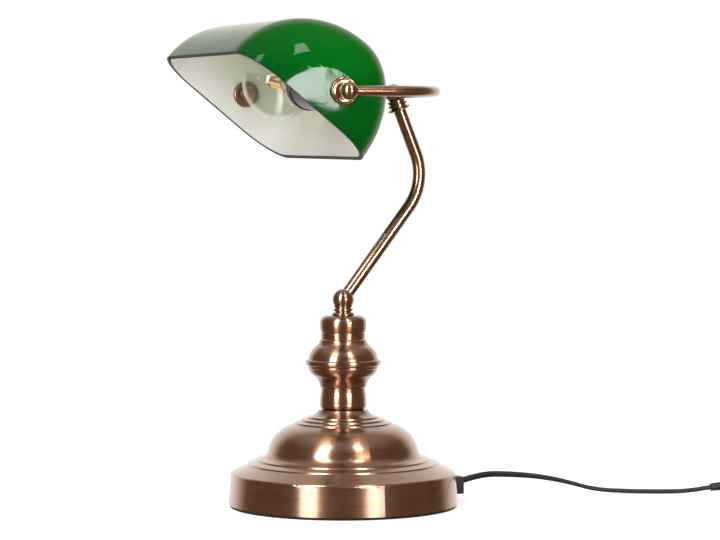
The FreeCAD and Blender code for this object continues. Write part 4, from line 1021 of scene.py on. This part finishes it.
def make_floor():
    paint = new_paint("pale_floor")
    where = paint.place()
    cloud = paint.noise(where, 3.0, 2.0, 0.5)
    colour = paint.blend(cloud, (0.86, 0.86, 0.86), (0.90, 0.90, 0.90))
    x, y, _ = paint.split(where)
    away = ((x * x + y * y) ** 0.5).between(GLOW_FROM, GLOW_FULL)
    glow = paint.blend(away, (0.45, 0.45, 0.45), (1.0, 1.0, 1.0))
    material = paint.finish(base_color=colour, roughness=0.8, emission_color=glow, emission_strength=1.0)
    turns = [math.tau * side / FLOOR_SIDES for side in range(FLOOR_SIDES)]
    rim = [(FLOOR_RADIUS * math.cos(turn), FLOOR_RADIUS * math.sin(turn), FLOOR_TOP) for turn in turns]
    floor = mesh_piece("floor", rim, [tuple(range(FLOOR_SIDES))], material)
    floor.visible_glossy = False


BOX_DISTANCE = 1.2
BOX_TONE = (1.0, 0.998, 0.985)


def soft_box(name, azimuths, heights, radiance):
    """A flat light that stands beside the lamp; azimuths run from +X towards +Y, in degrees."""
    half_angle = math.radians(azimuths[1] - azimuths[0]) / 2
    azimuth = math.radians(azimuths[0] + azimuths[1]) / 2
    data = bpy.data.lights.new(name, "AREA")
    data.shape = "RECTANGLE"
    data.size = 2 * BOX_DISTANCE * math.tan(half_angle)
    data.size_y = heights[1] - heights[0]
    data.energy = radiance * math.pi * data.size * data.size_y
    data.color = BOX_TONE
    box = placed_in_scene(name, data)
    outward = Vector((math.cos(azimuth), math.sin(azimuth), 0))
    box.location = outward * BOX_DISTANCE + UP * (sum(heights) / 2)
    box.rotation_euler = (-outward).to_track_quat("-Z", "Y").to_euler()
    box.visible_camera = False


BACKDROP_WAY = math.radians(159.3)    # away from the camera, from +X towards +Y
BACKDROP_LIGHT = 0.85
TOP_LIGHT = 0.32
LIGHT_MOST = 1.05
ROOM_TONE = (0.21, 0.138, 0.095)      # the dim warm room that the brass mirrors between the lights


def make_world():
    """A bright backdrop and ceiling in a dim warm room; the camera itself sees plain white."""
    world = bpy.data.worlds.new("studio")
    bpy.context.scene.world = world
    paint = Paint(world)
    way = paint.node("ShaderNodeTexCoord").outputs["Generated"]
    x, y, z = paint.split(way)
    towards_backdrop = x * math.cos(BACKDROP_WAY) + y * math.sin(BACKDROP_WAY)
    bright = towards_backdrop.between(0.45, 0.75) * BACKDROP_LIGHT + z.between(0.55, 0.85) * TOP_LIGHT
    colour = paint.joined(*[(bright + tone).math("MINIMUM", LIGHT_MOST) for tone in ROOM_TONE])
    seen = paint.node("ShaderNodeLightPath").outputs["Is Camera Ray"]
    chosen = paint.blend(seen, colour, (1.0, 1.0, 1.0))
    background = paint.node("ShaderNodeBackground", None, {0: chosen, 1: 1.0})
    paint.node("ShaderNodeOutputWorld", None, {0: background.outputs[0]})


# Soft boxes stand left and right of the camera, dimmer below: name, azimuths, heights and radiance.
# The narrow bright one on the right is what the shade's flat end mirrors.
SOFT_BOXES = (
    ("box_left_low", (-63.0, -46.0), (0.0, 0.30), 6.5),
    ("box_left_high", (-63.0, -46.0), (0.30, 1.9), 13.0),
    ("box_right_low", (3.0, 17.0), (0.0, 0.27), 6.5),
    ("box_right_middle", (1.0, 16.5), (0.325, 0.372), 64.0),
    ("box_right_high", (3.0, 15.0), (1.05, 1.9), 19.0),
)


def make_lights():
    for box in SOFT_BOXES:
        soft_box(*box)
    settings = bpy.context.scene.view_settings
    settings.view_transform = "Standard"
    settings.look = "None"


make_floor()
make_world()
make_lights()
